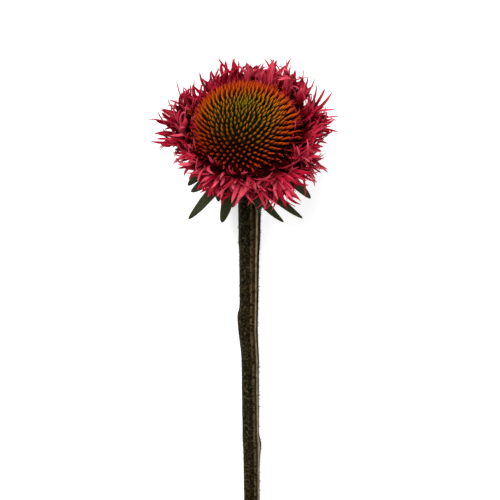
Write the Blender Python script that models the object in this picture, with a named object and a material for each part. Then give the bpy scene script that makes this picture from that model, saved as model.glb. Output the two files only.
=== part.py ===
"""Coneflower head on its cut stem, lying on a surface.

The stem lies along Y and rests on its cut end. Its neck bends up into the head, which leans on the
florets of its far side, so the spiny cone looks forwards and up. Four pieces: stem, bracts, ruff and cone.
"""

import random
from math import acos, atan2, ceil, cos, exp, hypot, pi, radians, sin, sqrt

import bmesh
import bpy
from mathutils import Matrix, Vector

MM = 0.001

# How the head stands: the axis of the cone over the surface, and its small turn to the left
HEAD_ELEVATION = radians(38)
HEAD_TURN = radians(3)

# The stem: its length along the curve, the stretch that bends, and its slope where it runs straight
STEM_LENGTH = 139 * MM
STEM_BEND_LENGTH = 28 * MM
STEM_SLOPE = radians(3.7)
STEM_STEP = 4.2 * MM
STEM_RIDGES = 9
STEM_RIDGE_DEPTH = 0.26 * MM
# How deep the cut end's ridges are pressed flat where the stem rests
STEM_PRESSED = 0.25 * MM
# Radius at distances from the head, both in mm
STEM_RADII = (
    (0, 5.6), (5, 4.5), (12, 3.9), (24, 3.6), (33, 3.5),
    (38, 3.2), (60, 3.0), (78, 2.75), (106, 2.65), (139, 2.35),
)
# How far the stem has gone to the side, at distances from the head, both in mm: it kinks at the leaf node
STEM_DRIFTS = (
    (0, 0), (20, 1.25), (50, 1.05), (62, 0.90),
    (75, 1.45), (98, 1.60), (108, 1.90), (139, 2.10),
)
# A bump: distance from the head, angle round the stem, height, and reach up and down the stem
LEAF_NODE = (58.5 * MM, radians(180), 0.65 * MM, 1.8 * MM, 7.0 * MM)
LEAF_SCAR = (102 * MM, radians(0), 0.75 * MM, 2.0 * MM, 4.0 * MM)

# Heights over the foot of the head, along its axis, and radii about it
JOINT_GAP = 0.3 * MM
CUP_FOOT_RADIUS = 6.4 * MM
CUP_RADIUS = 10.4 * MM
CUP_HEIGHT = 2.3 * MM
RUFF_FOOT_RADIUS = 10.4 * MM
RUFF_RADIUS = 15.6 * MM
RUFF_HEIGHT = 5.2 * MM
CONE_FOOT = RUFF_HEIGHT + JOINT_GAP
CONE_RADIUS = 14.9 * MM
CONE_HEIGHT = 11.3 * MM

# The spines of the cone
SPINE_COUNT = 320
SPINE_LENGTH = 3.7 * MM
SPINE_ROOT_RADIUS = 0.74 * MM
SPINE_SUNK = 0.9 * MM
SPINE_LOWEST_ANGLE = radians(84.5)
# How far the spines turn up from the surface, and how they crowd towards the top, where they are shortest
SPINE_LIFT = 0.65
SPINE_CROWDING = 1.22
TOP_SPINE_SHARE = 0.55
FULL_SPINES_FROM = 0.3
GOLDEN_ANGLE = pi * (3 - sqrt(5))

# The room that the florets leave to the cone with its spines
CONE_ROOM_RADIUS = 19.0 * MM
CONE_ROOM_HEIGHT = 16.0 * MM
CONE_ROOM_FOOT = 4.9 * MM

# The slanting gap between the florets above and the bracts below
DIVIDE_RADIUS = 10 * MM
DIVIDE_HEIGHT = -1.3 * MM
DIVIDE_SLOPE = 0.40
DIVIDE_MARGIN = 0.55 * MM

BLADE_THICKNESS = 0.7 * MM
BLADE_LOWEST_MIDDLE = 0.27 * MM
# How far a floret that meets the surface slides away over it, for each unit that it would sink
BLADE_SLIDE = 0.75
# A lobe is a straight point here, so it bends by this share of the curl and hook of its tip, up to a limit
LOBE_BEND = 0.6
LOBE_MOST_CURL = radians(50)

FLORET_SEED = 166
# Each row of florets: count, root radius and height, lean at the root, then length and lean at the tip,
# both towards the viewer, to the sides and away. Lengths in mm, leans in degrees over the head's own plane.
FLORET_ROWS = (
    (26, 13.0, 1.5, -6, (13.0, 17.0, 17.0), (-34, 6, -6)),
    (28, 13.2, 2.9, 4, (13.0, 18.0, 19.5), (-14, 46, 78)),
    (28, 13.4, 4.0, 10, (12.0, 17.0, 20.5), (-8, 80, 104)),
)
# How freely the florets twist, sweep and curl towards the viewer, to the sides and away
WILDNESS = (1.55, 1.0, 0.75)
# How far the florets reach round the head, as a share of their row's length, by azimuth in degrees
REACHES = (
    (0, 0.98), (20, 0.86), (40, 1.21), (60, 1.36), (120, 1.0), (140, 0.84),
    (158, 0.64), (178, 0.95), (200, 1.05), (215, 0.84), (235, 0.66), (252, 0.86),
    (270, 0.85), (290, 1.0), (318, 0.94), (342, 1.0), (360, 0.98),
)
# The florets of the lowest row that the head leans on lie flat and untwisted. They are this near to straight
# down, and this long
RESTING_REACH = radians(23)
RESTING_LENGTH = 20.5 * MM

BRACT_SEED = 7
BRACT_ROOT_RADIUS = 8.6 * MM
BRACT_ROOT_HEIGHT = -1.35 * MM
BRACT_WIDTH = 4.0 * MM
# The bracts that show below the florets: azimuth in degrees, length in mm, droop in degrees, and how far the
# tip sweeps aside as a share of the length
FRONT_BRACTS = (
    (41, 21.0, 50, 0.27),
    (61, 16.0, 45, 0.45),
    (68, 14.0, 48, -0.07),
    (75, 21.5, 26, 0.46),
    (81, 16.5, 55, 0.03),
    (87, 20.0, 47, 0.48),
    (105, 14.5, 50, -0.06),
    (111, 21.5, 58, -0.16),
    (121, 22.5, 26, -0.20),
    (127, 14.5, 55, 0.0),
    (138, 17.0, 54, -0.45),
    (153, 15.5, 40, -0.20),
)
BACK_BRACT_AZIMUTHS = range(184, 376, 24)
BACK_BRACT_LENGTH = 14 * MM
BACK_BRACT_DROOP = 36


def smooth(x):
    x = min(max(x, 0), 1)
    return x * x * (3 - 2 * x)


def read_steps(steps, way, shape):
    """Return the value that a list of (distance, value) steps has at a distance, with the steps in mm."""
    for (a, start), (b, end) in zip(steps, steps[1:]):
        if way / MM <= b:
            return (start + (end - start) * shape((way / MM - a) / (b - a))) * MM
    return steps[-1][1] * MM


def stem_centre_line():
    """Return the points of the stem, from the head down to the cut end, with the head's foot at zero."""
    steps = ceil(STEM_LENGTH / STEM_STEP)
    step = STEM_LENGTH / steps
    start = CUP_HEIGHT + JOINT_GAP
    y = -start * cos(HEAD_ELEVATION)
    z = -start * sin(HEAD_ELEVATION)
    points = []
    for i in range(steps + 1):
        way = i * step
        points.append((way, Vector((read_steps(STEM_DRIFTS, way, smooth), y, z))))
        bend = smooth((way + step / 2) / STEM_BEND_LENGTH)
        slope = HEAD_ELEVATION + (STEM_SLOPE - HEAD_ELEVATION) * bend
        y -= step * cos(slope)
        z -= step * sin(slope)
    return points


STEM_POINTS = stem_centre_line()
HEAD_HEIGHT = STEM_RADII[-1][1] * MM - STEM_PRESSED - STEM_POINTS[-1][1].z
HEAD_FOOT = Vector((0, 0, HEAD_HEIGHT))
HEAD_RIGHT = Matrix.Rotation(HEAD_TURN, 3, "Z") @ Vector((1, 0, 0))
HEAD_AXIS = Matrix.Rotation(HEAD_TURN, 3, "Z") @ Vector((0, cos(HEAD_ELEVATION), sin(HEAD_ELEVATION)))
HEAD_FRONT = HEAD_RIGHT.cross(HEAD_AXIS)


def outward(azimuth):
    """Return the direction away from the head's axis: 0 is right, 90 degrees is towards the viewer."""
    return HEAD_RIGHT * cos(azimuth) + HEAD_FRONT * sin(azimuth)


def head_point(radius, azimuth, height):
    return HEAD_FOOT + outward(azimuth) * radius + HEAD_AXIS * height


def in_head(point):
    """Return the radius, azimuth and height of a point about the head's axis."""
    offset = point - HEAD_FOOT
    x = offset.dot(HEAD_RIGHT)
    y = offset.dot(HEAD_FRONT)
    return hypot(x, y), atan2(y, x), offset.dot(HEAD_AXIS)


def mesh_object(name, vertices, faces):
    """Make an object from vertices and faces, with every face turned outwards."""
    bm = bmesh.new()
    made = [bm.verts.new(v) for v in vertices]
    for face in faces:
        bm.faces.new([made[i] for i in face])
    bmesh.ops.recalc_face_normals(bm, faces=bm.faces)
    mesh = bpy.data.meshes.new(name)
    bm.to_mesh(mesh)
    bm.free()
    piece = bpy.data.objects.new(name, mesh)
    bpy.context.collection.objects.link(piece)
    return piece


def turned_solid(name, profile, sides):
    """Make a closed solid that is turned about the head's axis from (radius, height) points."""
    vertices = []
    for radius, height in profile:
        for k in range(sides):
            vertices.append(head_point(radius, 2 * pi * k / sides, height))
    faces = []
    for ring in range(len(profile) - 1):
        for k in range(sides):
            a = ring * sides + k
            b = ring * sides + (k + 1) % sides
            faces.append((a, b, b + sides, a + sides))
    last = (len(profile) - 1) * sides
    faces.append(range(sides))
    faces.append(range(last, last + sides))
    return mesh_object(name, vertices, faces)


def joined(core, others):
    """Join the others to the core in one Boolean union, fill what it seals and drop loose scraps."""
    group = bpy.data.collections.new(core.name + "_repeats")
    for piece in others:
        group.objects.link(piece)
    union = core.modifiers.new("union", "BOOLEAN")
    union.operation = "UNION"
    union.operand_type = "COLLECTION"
    union.collection = group
    union.solver = "MANIFOLD"
    evaluated = core.evaluated_get(bpy.context.evaluated_depsgraph_get())
    mesh = bpy.data.meshes.new_from_object(evaluated)
    core.modifiers.clear()
    core.data = mesh
    for piece in others:
        bpy.data.objects.remove(piece)
    bpy.data.collections.remove(group)
    keep_one_body(mesh)
    return core


def keep_one_body(mesh):
    """Keep the largest connected surface, which fills sealed hollows and drops scraps."""
    bm = bmesh.new()
    bm.from_mesh(mesh)
    bmesh.ops.triangulate(bm, faces=bm.faces)
    bodies = []
    left = set(bm.verts)
    while left:
        body = set()
        edge_of_body = [left.pop()]
        while edge_of_body:
            vertex = edge_of_body.pop()
            body.add(vertex)
            for edge in vertex.link_edges:
                other = edge.other_vert(vertex)
                if other in left:
                    left.remove(other)
                    edge_of_body.append(other)
        bodies.append(body)
    bodies.sort(key=len)
    for body in bodies[:-1]:
        bmesh.ops.delete(bm, geom=list(body), context="VERTS")
    bm.to_mesh(mesh)
    bm.free()


def blade(name, points, faces):
    """Make a closed blade of even thickness about a sheet of triangles, and rest it on the surface."""
    normals = [Vector((0, 0, 0)) for _ in points]
    edges = {}
    for a, b, c in faces:
        normal = (points[b] - points[a]).cross(points[c] - points[a])
        for i in (a, b, c):
            normals[i] += normal
        for edge in ((a, b), (b, c), (c, a)):
            edges[edge] = True
    vertices = []
    for side in (0.5, -0.5):
        for point, normal in zip(points, normals):
            vertex = point + normal.normalized() * BLADE_THICKNESS * side
            vertex.z = max(vertex.z, 0)
            vertices.append(vertex)
    count = len(points)
    solid = [tuple(face) for face in faces]
    solid += [(c + count, b + count, a + count) for a, b, c in faces]
    for a, b in edges:
        if (b, a) not in edges:
            solid.append((a, a + count, b + count))
            solid.append((a, b + count, b))
    return mesh_object(name, vertices, solid)


def bent_clear(point):
    """Move a point of a floret out of the cone's room, off the bracts and onto the surface."""
    radius, azimuth, height = in_head(point)
    if height > CONE_ROOM_FOOT:
        share = hypot(radius / CONE_ROOM_RADIUS, (height - CONE_ROOM_FOOT) / CONE_ROOM_HEIGHT)
        if share < 1:
            radius = CONE_ROOM_RADIUS * sqrt(1 - ((height - CONE_ROOM_FOOT) / CONE_ROOM_HEIGHT) ** 2)
    divide = DIVIDE_HEIGHT - DIVIDE_SLOPE * (radius - DIVIDE_RADIUS) + DIVIDE_MARGIN
    height = max(height, divide)
    moved = head_point(radius, azimuth, height)
    sunk = max(BLADE_LOWEST_MIDDLE - moved.z, 0)
    return moved + Vector((0, BLADE_SLIDE * sunk, sunk))


def by_side(azimuth, front, sides, back):
    """Return a value that goes smoothly from the front over the sides to the back of the head."""
    facing = sin(azimuth)
    end = front if facing > 0 else back
    return sides + (end - sides) * abs(facing) ** 1.3


def reach_at(azimuth):
    """Return the share of its row's length that a floret reaches at an azimuth."""
    degrees_round = azimuth * 180 / pi % 360
    for (a, start), (b, end) in zip(REACHES, REACHES[1:]):
        if degrees_round <= b:
            return start + (end - start) * smooth((degrees_round - a) / (b - a))


def floret(name, azimuth, root, length, lean, draw, wild):
    """Make one floret: a narrow tube mouth that widens and splits into pointed, curling lobes."""
    lobes = draw.choice((3, 4, 4, 5))
    half_width = draw.uniform(0.50, 0.72) * lobes * MM
    twist = radians(draw.uniform(-55, 55)) * wild
    sweep = draw.uniform(-0.28, 0.28) * max(wild, 0.5)
    channel = draw.uniform(-0.3, 0.9) * min(wild, 1)
    fans = [radians(draw.uniform(8, 15) * (2 * k - lobes + 1) + draw.uniform(-9, 9)) for k in range(lobes)]
    reaches = [draw.uniform(0.72, 1.08) for _ in range(lobes)]
    curls = [radians(draw.uniform(-70, 85)) * wild for _ in range(lobes)]
    hooks = [radians(draw.uniform(-40, 40)) for _ in range(lobes)]
    split = draw.uniform(0.52, 0.74)
    radius, height = root
    tangent = HEAD_AXIS.cross(outward(azimuth))
    points = []

    def put(way, across, off):
        """Add the point a share of the way along, across and off the floret, and return its number."""
        steps = 8
        r, h, angle = radius, height, lean[0]
        for i in range(steps):
            angle = lean[0] + (lean[1] - lean[0]) * way * (i + 0.5) / steps
            r += cos(angle) * length * way / steps
            h += sin(angle) * length * way / steps
        along = outward(azimuth) * cos(angle) + HEAD_AXIS * sin(angle)
        turn = Matrix.Rotation(twist * min(way, 1), 3, along)
        point = head_point(r, azimuth, h) + tangent * sweep * length * way * way
        point += (turn @ tangent) * across + (turn @ along.cross(tangent)) * off
        points.append(bent_clear(point))
        return len(points) - 1

    faces = []
    for way, share in ((0, 0.34), (0.34, 0.67)):
        for side in (-1, 1):
            put(way, half_width * share * side, channel * half_width * share)
    faces += [(0, 1, 3), (0, 3, 2)]
    valleys = []
    for k in range(lobes + 1):
        share = 2 * k / lobes - 1
        valleys.append(put(split, half_width * share, channel * half_width * share * share))
    middle_valley = (lobes + 1) // 2
    for k in range(middle_valley):
        faces.append((2, valleys[k + 1], valleys[k]))
    faces.append((2, 3, valleys[middle_valley]))
    for k in range(middle_valley, lobes):
        faces.append((3, valleys[k + 1], valleys[k]))
    for k in range(lobes):
        middle = (2 * k + 1) / lobes - 1
        across = half_width * middle
        off = channel * half_width * middle * middle
        way = split
        lobe_length = (1 - split) * reaches[k] * length
        side = fans[k] + hooks[k] * LOBE_BEND
        curl = max(min(curls[k] * LOBE_BEND, LOBE_MOST_CURL), -LOBE_MOST_CURL)
        across += lobe_length * sin(side)
        off += lobe_length * sin(curl) * cos(side)
        way += lobe_length * cos(curl) * cos(side) / length
        faces.append((valleys[k], valleys[k + 1], put(way, across, off)))
    return blade(name, points, faces)


def ruff():
    """Make the ring of pink florets on its low bowl."""
    profile = (
        (RUFF_FOOT_RADIUS, 0),
        (RUFF_RADIUS - 1.6 * MM, 0.55 * RUFF_HEIGHT),
        (RUFF_RADIUS, 0.8 * RUFF_HEIGHT),
        (RUFF_RADIUS - 0.5 * MM, RUFF_HEIGHT),
    )
    bowl = turned_solid("ruff", profile, 24)
    draw = random.Random(FLORET_SEED)
    florets = []
    for row, (count, radius, height, root_lean, lengths, tip_leans) in enumerate(FLORET_ROWS):
        for k in range(count):
            azimuth = 2 * pi * (k + row / 3 + draw.uniform(-0.3, 0.3)) / count
            root = (radius * MM, (height + draw.uniform(-0.4, 0.4)) * MM)
            grown = by_side(azimuth, *lengths) * reach_at(azimuth) * draw.uniform(0.82, 1.08) * MM
            rests = row == 0 and abs(azimuth - radians(270)) < RESTING_REACH
            if rests:
                grown = RESTING_LENGTH
            wild = 0 if rests else by_side(azimuth, *WILDNESS)
            tip_lean = by_side(azimuth, *tip_leans) + draw.uniform(-20, 20) * wild
            lean = (radians(root_lean), radians(tip_lean))
            florets.append(floret(f"floret_{row}_{k}", azimuth, root, grown, lean, draw, wild))
    return joined(bowl, florets)


def bract(name, azimuth, length, droop, sweep, draw):
    """Make one narrow pointed bract with a raised keel, curling down from the cup."""
    tangent = HEAD_AXIS.cross(outward(azimuth))
    start = radians(-14)
    end = radians(-2 * droop + 14)
    twist = radians(draw.uniform(-9, 9))

    def place(way, across, off):
        steps = 6
        r, h, angle = BRACT_ROOT_RADIUS, BRACT_ROOT_HEIGHT, start
        for i in range(steps):
            angle = start + (end - start) * way * (i + 0.5) / steps
            r += cos(angle) * length * way / steps
            h += sin(angle) * length * way / steps
        along = outward(azimuth) * cos(angle) + HEAD_AXIS * sin(angle)
        turn = Matrix.Rotation(twist * way, 3, along)
        point = head_point(r, azimuth, h) + tangent * sweep * length * way * way
        point += (turn @ tangent) * across + (turn @ along.cross(tangent)) * off
        radius, around, height = in_head(point)
        divide = DIVIDE_HEIGHT - DIVIDE_SLOPE * (radius - DIVIDE_RADIUS) - DIVIDE_MARGIN
        if radius > DIVIDE_RADIUS:
            height = min(height, divide)
        point = head_point(radius, around, height)
        point.z = max(point.z, BLADE_LOWEST_MIDDLE)
        return point

    points = []
    faces = []
    outline = ((0, 0.72), (0.28, 0.98), (0.52, 0.87), (0.74, 0.62), (0.9, 0.37))
    for station, (way, share) in enumerate(outline):
        half = BRACT_WIDTH / 2 * share
        for across in (-half, 0, half):
            points.append(place(way, across, 0.35 * MM * share if across == 0 else 0))
        if station:
            a = 3 * station
            faces += [(a - 3, a - 2, a + 1), (a - 3, a + 1, a)]
            faces += [(a - 2, a - 1, a + 2), (a - 2, a + 2, a + 1)]
    tip = len(points)
    points.append(place(1, 0, 0))
    faces += [(tip - 3, tip - 2, tip), (tip - 2, tip - 1, tip)]
    return blade(name, points, faces)


def bracts():
    """Make the green cup under the florets, with its bracts."""
    profile = (
        (CUP_FOOT_RADIUS, -CUP_HEIGHT),
        (0.93 * CUP_RADIUS, -0.55 * CUP_HEIGHT),
        (CUP_RADIUS, -JOINT_GAP),
    )
    cup = turned_solid("bracts", profile, 24)
    draw = random.Random(BRACT_SEED)
    blades = []
    for azimuth, length, droop, sweep in FRONT_BRACTS:
        blades.append(bract(f"bract_{azimuth}", radians(azimuth), length * MM, droop, sweep, draw))
    for azimuth in BACK_BRACT_AZIMUTHS:
        length = BACK_BRACT_LENGTH * draw.uniform(0.85, 1.15)
        blades.append(bract(f"bract_{azimuth}", radians(azimuth), length, BACK_BRACT_DROOP, 0, draw))
    return joined(cup, blades)


def cone_surface(angle):
    """Return the radius and height of the cone's surface at an angle from its top."""
    return CONE_RADIUS * sin(angle), CONE_FOOT + CONE_HEIGHT * cos(angle)


def spines():
    """Make every spine of the cone, three-sided and set on the golden angle, as one object."""
    vertices = []
    faces = []
    for k in range(SPINE_COUNT):
        share = (k + 0.5) / SPINE_COUNT
        angle = acos(1 - share ** SPINE_CROWDING * (1 - cos(SPINE_LOWEST_ANGLE)))
        azimuth = k * GOLDEN_ANGLE
        radius, height = cone_surface(angle)
        foot = head_point(radius, azimuth, height)
        way = (outward(azimuth) * sin(angle) + HEAD_AXIS * (cos(angle) + SPINE_LIFT)).normalized()
        grown = TOP_SPINE_SHARE + (1 - TOP_SPINE_SHARE) * min(share / FULL_SPINES_FROM, 1)
        side = HEAD_AXIS.cross(outward(azimuth))
        up = way.cross(side).normalized()
        first = len(vertices)
        for corner in range(3):
            turn = 2 * pi * corner / 3
            rim = (side * sin(turn) + up * cos(turn)) * SPINE_ROOT_RADIUS
            vertices.append(foot + rim - way * SPINE_SUNK)
        vertices.append(foot + way * SPINE_LENGTH * grown)
        faces.append((first, first + 1, first + 2))
        for corner in range(3):
            faces.append((first + corner, first + (corner + 1) % 3, first + 3))
    return mesh_object("spines", vertices, faces)


def cone():
    """Make the domed cone with its spines."""
    rings = 6
    profile = [(CONE_RADIUS - 1.2 * MM, CONE_FOOT)]
    for ring in range(rings):
        angle = radians(86) * (1 - ring / rings)
        profile.append(cone_surface(angle))
    dome = turned_solid("cone", profile, 26)
    return joined(dome, [spines()])


def bump(way, around, shape):
    """Return how far a bump stands out of the stem here."""
    place, angle, height, reach_up, reach_down = shape
    apart = (around - angle + pi) % (2 * pi) - pi
    reach = reach_down if way > place else reach_up
    return height * exp(-((way - place) / reach) ** 2 - (apart / 0.6) ** 2)


def stem():
    """Make the ridged stem with its leaf node, leaf scar and cut end."""
    sides = 2 * STEM_RIDGES
    vertices = []
    faces = []
    count = len(STEM_POINTS)
    for i, (way, point) in enumerate(STEM_POINTS):
        before = STEM_POINTS[max(i - 1, 0)][1]
        after = STEM_POINTS[min(i + 1, count - 1)][1]
        along = HEAD_AXIS * -1 if i == 0 else (after - before).normalized()
        right = (Vector((1, 0, 0)) - along * along.x).normalized()
        up = right.cross(along)
        for k in range(sides):
            around = 2 * pi * k / sides
            ridge = STEM_RIDGE_DEPTH * (0.5 if k % 2 else -0.5)
            radius = read_steps(STEM_RADII, way, float) + ridge
            radius += bump(way, around, LEAF_NODE) + bump(way, around, LEAF_SCAR)
            vertex = HEAD_FOOT + point + (right * cos(around) + up * sin(around)) * radius
            vertex.z = max(vertex.z, 0)
            vertices.append(vertex)
    for ring in range(count - 1):
        for k in range(sides):
            a = ring * sides + k
            b = ring * sides + (k + 1) % sides
            faces.append((a, b, b + sides))
            faces.append((a, b + sides, a + sides))
    last = (count - 1) * sides
    faces.append(range(sides))
    faces.append(range(last, last + sides))
    return mesh_object("stem", vertices, faces)


def give_material(piece, name, colour, roughness):
    material = bpy.data.materials.new(name)
    material.use_nodes = True
    shader = material.node_tree.nodes["Principled BSDF"]
    shader.inputs["Base Color"].default_value = (*colour, 1)
    shader.inputs["Roughness"].default_value = roughness
    shader.inputs["Metallic"].default_value = 0
    piece.data.materials.clear()
    piece.data.materials.append(material)


def centre_on_surface(pieces):
    """Move all pieces so that the origin lies under the middle of the whole."""
    corners = [v.co for piece in pieces for v in piece.data.vertices]
    middle_x = (min(c.x for c in corners) + max(c.x for c in corners)) / 2
    middle_y = (min(c.y for c in corners) + max(c.y for c in corners)) / 2
    for piece in pieces:
        piece.data.transform(Matrix.Translation((-middle_x, -middle_y, 0)))


def main():
    for old in list(bpy.data.objects):
        bpy.data.objects.remove(old)
    made_stem = stem()
    made_bracts = bracts()
    made_ruff = ruff()
    made_cone = cone()
    give_material(made_stem, "stem_skin", (0.045, 0.032, 0.012), 0.7)
    give_material(made_bracts, "bract_green", (0.030, 0.042, 0.016), 0.6)
    give_material(made_ruff, "floret_pink", (0.42, 0.012, 0.065), 0.55)
    give_material(made_cone, "spine_orange", (0.50, 0.14, 0.006), 0.45)
    centre_on_surface([made_stem, made_bracts, made_ruff, made_cone])


main()
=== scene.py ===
"""Coneflower head on its cut stem: the finished surfaces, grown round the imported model.

The spiny cone, the ruff of split florets, the bracts and the ridged stem follow the same rules and sizes as
the solids that they stand for, with more and finer pieces.
"""

import random
from math import atan2, cos, exp, hypot, pi, radians, sin, sqrt

import bmesh
import bpy
from mathutils import Matrix, Vector


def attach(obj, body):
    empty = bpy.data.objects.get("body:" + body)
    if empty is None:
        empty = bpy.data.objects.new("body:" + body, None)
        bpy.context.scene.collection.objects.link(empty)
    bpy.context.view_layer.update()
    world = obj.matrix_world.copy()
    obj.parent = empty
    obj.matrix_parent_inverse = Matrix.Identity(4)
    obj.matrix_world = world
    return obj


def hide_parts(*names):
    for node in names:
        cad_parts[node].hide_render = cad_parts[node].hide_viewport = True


bl_info = {
    "name": "Coneflower Head",
    "version": (1, 0, 0),
    "blender": (4, 5, 0),
    "location": "View3D > Sidebar > Coneflower",
    "description": "Grows a coneflower head with a spiny cone, split florets, bracts and a ridged stem",
    "category": "Object",
}

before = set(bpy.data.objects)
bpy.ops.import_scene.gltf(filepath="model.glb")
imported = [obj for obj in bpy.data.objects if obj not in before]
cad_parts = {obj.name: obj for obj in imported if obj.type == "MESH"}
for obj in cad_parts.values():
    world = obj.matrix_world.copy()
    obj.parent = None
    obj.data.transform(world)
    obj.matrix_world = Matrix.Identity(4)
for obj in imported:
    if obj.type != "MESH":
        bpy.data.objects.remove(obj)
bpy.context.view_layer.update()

MM = 0.001
BODY = "root"

# How the head stands, and its cup, ruff and cone, as in the solids
HEAD_ELEVATION = radians(38)
HEAD_TURN = radians(3)
JOINT_GAP = 0.3 * MM
CUP_FOOT_RADIUS = 6.4 * MM
CUP_RADIUS = 10.4 * MM
CUP_HEIGHT = 2.3 * MM
RUFF_FOOT_RADIUS = 10.4 * MM
RUFF_RADIUS = 15.6 * MM
RUFF_HEIGHT = 5.2 * MM
CONE_FOOT = RUFF_HEIGHT + JOINT_GAP
CONE_RADIUS = 14.9 * MM
CONE_HEIGHT = 11.3 * MM
# The spines: how far down the dome they go, how much they are lifted towards the head's axis, there and by
# the rim, how much they crowd towards the top, and their own shape
SPINE_LOWEST_ANGLE = radians(97)
SPINE_LIFT = 0.65
SPINE_RIM_LIFT = 0.30
SPINE_CROWDING = 1.22
SPINE_TIP_RADIUS = 0.04 * MM
SPINE_SWELL = 1.1
SPINE_BEND = 0.5 * MM
SPINE_SUNK = 0.4 * MM
SPINE_TILTS = ((-0.16, -0.16, -0.12), (0.16, 0.16, 0.12))
SPINE_TILT_SEED = 3
SPINE_SIZE_SEED = 11
# Below their tips the spines have these colours, from the top of the cone to its rim
SPINE_ROOT_COLOURS = ((0.2, (0.008, 0.007, 0.001)), (0.6, (0.014, 0.002, 0.0005)))
SPINE_MIDDLE_COLOURS = (
    (0.0, (0.100, 0.090, 0.004)), (0.28, (0.085, 0.046, 0.002)),
    (0.55, (0.120, 0.013, 0.002)), (1.0, (0.090, 0.005, 0.001)),
)
# The spines on the far side and at the sides are redder, from the first to the second of these distances
# from the cone's middle
FAR_RANGE = (-1 * MM, -10 * MM)
FAR_ROOT_COLOUR = (0.080, 0.005, 0.001)
FAR_MIDDLE_COLOUR = (0.220, 0.026, 0.003)
FAR_TINT = (0.84, 0.34, 0.40)
SIDE_RANGE = (9 * MM, 16 * MM)
SIDE_TINT = (1.0, 0.68, 0.9)
# The youngest, greenest spines are round a point this far in front of the cone's top
YOUNG_OFFSET = 5 * MM
YOUNG_RANGE = (4 * MM, 13 * MM)
YOUNG_MIDDLE_COLOUR = (0.100, 0.085, 0.004)
# The cone's surface between the spines, at its top and by its rim, each with light and dark cells
CORE_TOP_COLOURS = ((0.0, (0.020, 0.019, 0.002)), (0.6, (0.005, 0.005, 0.001)))
CORE_RIM_COLOURS = ((0.0, (0.030, 0.004, 0.001)), (0.6, (0.008, 0.001, 0.0004)))
CORE_RINGS = 16
CORE_SIDES = 64
CUP_SIDES = 72
GOLDEN_ANGLE = pi * (3 - sqrt(5))

# The room of the cone with its spines, and the slanting gap between florets and bracts
CONE_ROOM_RADIUS = 19.0 * MM
CONE_ROOM_HEIGHT = 16.0 * MM
CONE_ROOM_FOOT = 4.9 * MM
DIVIDE_RADIUS = 10 * MM
DIVIDE_HEIGHT = -1.3 * MM
DIVIDE_SLOPE = 0.40
DIVIDE_MARGIN = 0.4 * MM
# The dark gap in front of the cone, which the florets stay below: its middle and half reach round the head,
# its height by the cone, its slope outwards, how much higher it is at its ends, and the share of their
# height over it that florets keep
GAP_AZIMUTH = radians(80)
GAP_REACH = radians(42)
GAP_HEIGHT = 4.6 * MM
GAP_SLOPE = 1.036
GAP_FADE = 9 * MM
GAP_KEPT = 0.22
# Painted shade darkens the florets near a ring round the cone's foot, and less so away from the dark gap
PAINTED_SHADE_RADIUS = 16.5 * MM
PAINTED_SHADE_REACH = 6.5 * MM
PAINTED_SHADE_DEPTH = 0.85
PAINTED_SHADE_SIDE = radians(90)
PAINTED_SHADE_SIDE_FADE = 0.8
# The middle of a floret or bract stays this high over the surface, and a floret that is raised for it also
# moves away from the cut end, by this share of the rise
SHEET_LOWEST_MIDDLE = 0.2 * MM
SHEET_SLIDE = 0.75

# The rows of main florets: count, root radius and height, lean at the root, then length and lean at the
# tip, both towards the viewer, to the sides and away. Lengths are in mm, leans in degrees over the head's
# own plane.
FLORET_SEED = 166
SHADE_SEED = 61
FLORET_ROWS = (
    (26, 13.0, 1.5, -6, (13.0, 17.0, 17.0), (-34, 6, -6)),
    (28, 13.2, 2.9, 4, (13.0, 18.0, 19.5), (-14, 46, 78)),
    (28, 13.4, 4.0, 10, (12.0, 17.0, 20.5), (-8, 80, 104)),
)
# How far the roots of florets scatter up and down, in mm
FLORET_SCATTER = 0.4
# The florets of the lowest row that the head rests on: how far they stand to either side, and their length
RESTING_REACH = radians(23)
RESTING_LENGTH = 20.5 * MM
# Broad florets at the front: azimuth in degrees, length in mm, lean at the tip in degrees, breadth as a
# share of a common floret's, and shade
FRONT_FLORETS = (
    (92, 16.0, -66, 1.35, 1.00),
    (106, 11.0, -36, 1.75, 1.05),
    (95, 10.5, -18, 1.30, 0.80),
    (119, 12.5, -20, 1.40, 0.95),
    (58, 17.5, -42, 1.25, 1.00),
    (72, 12.0, -24, 1.50, 0.98),
    (83, 10.0, -10, 1.20, 0.90),
)
FRONT_FLORET_SEED = 12
# Long florets at the sides, which fill the outline there: the same order of values
SIDE_FLORETS = (
    (344, 20.0, 36, 0.95, 0.90),
    (330, 17.5, 54, 0.90, 0.75),
    (357, 16.5, 22, 0.85, 0.60),
    (310, 17.5, 88, 0.90, 0.85),
    (32, 17.0, -38, 0.90, 0.85),
    (201, 17.0, 30, 0.95, 0.80),
    (182, 17.0, 8, 0.85, 0.65),
    (219, 15.0, 60, 0.85, 0.90),
    (240, 16.5, 84, 0.85, 0.70),
)
SIDE_FLORET_SEED = 5
SINGLE_FLORET_ROOT = (13.2 * MM, 3.0 * MM)
SINGLE_FLORET_LEAN = radians(12)
SINGLE_FLORET_WILDNESS = 0.6
# The draws for each floret: its lobes, half its breadth a lobe in mm, its twist in degrees, how far its tip
# sweeps aside and how hollow it is, and where it splits as a share of its length
LOBE_COUNTS = (3, 4, 4, 5)
HALF_BREADTHS = (0.50, 0.72)
TWISTS = (-55, 55)
SWEEPS = (-0.28, 0.28)
HOLLOWS = (-0.3, 0.9)
SPLITS = (0.52, 0.74)
# The draws for each lobe: half its angle in the fan and how far it strays from its place there, its length
# as a share, and how far it curls and hooks, all angles in degrees
FAN_STEPS = (8, 15)
STRAYS = (-9, 9)
LOBE_REACHES = (0.72, 1.08)
CURLS = (-70, 85)
HOOKS = (-40, 40)
PLEAT = 0.16 * MM
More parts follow.
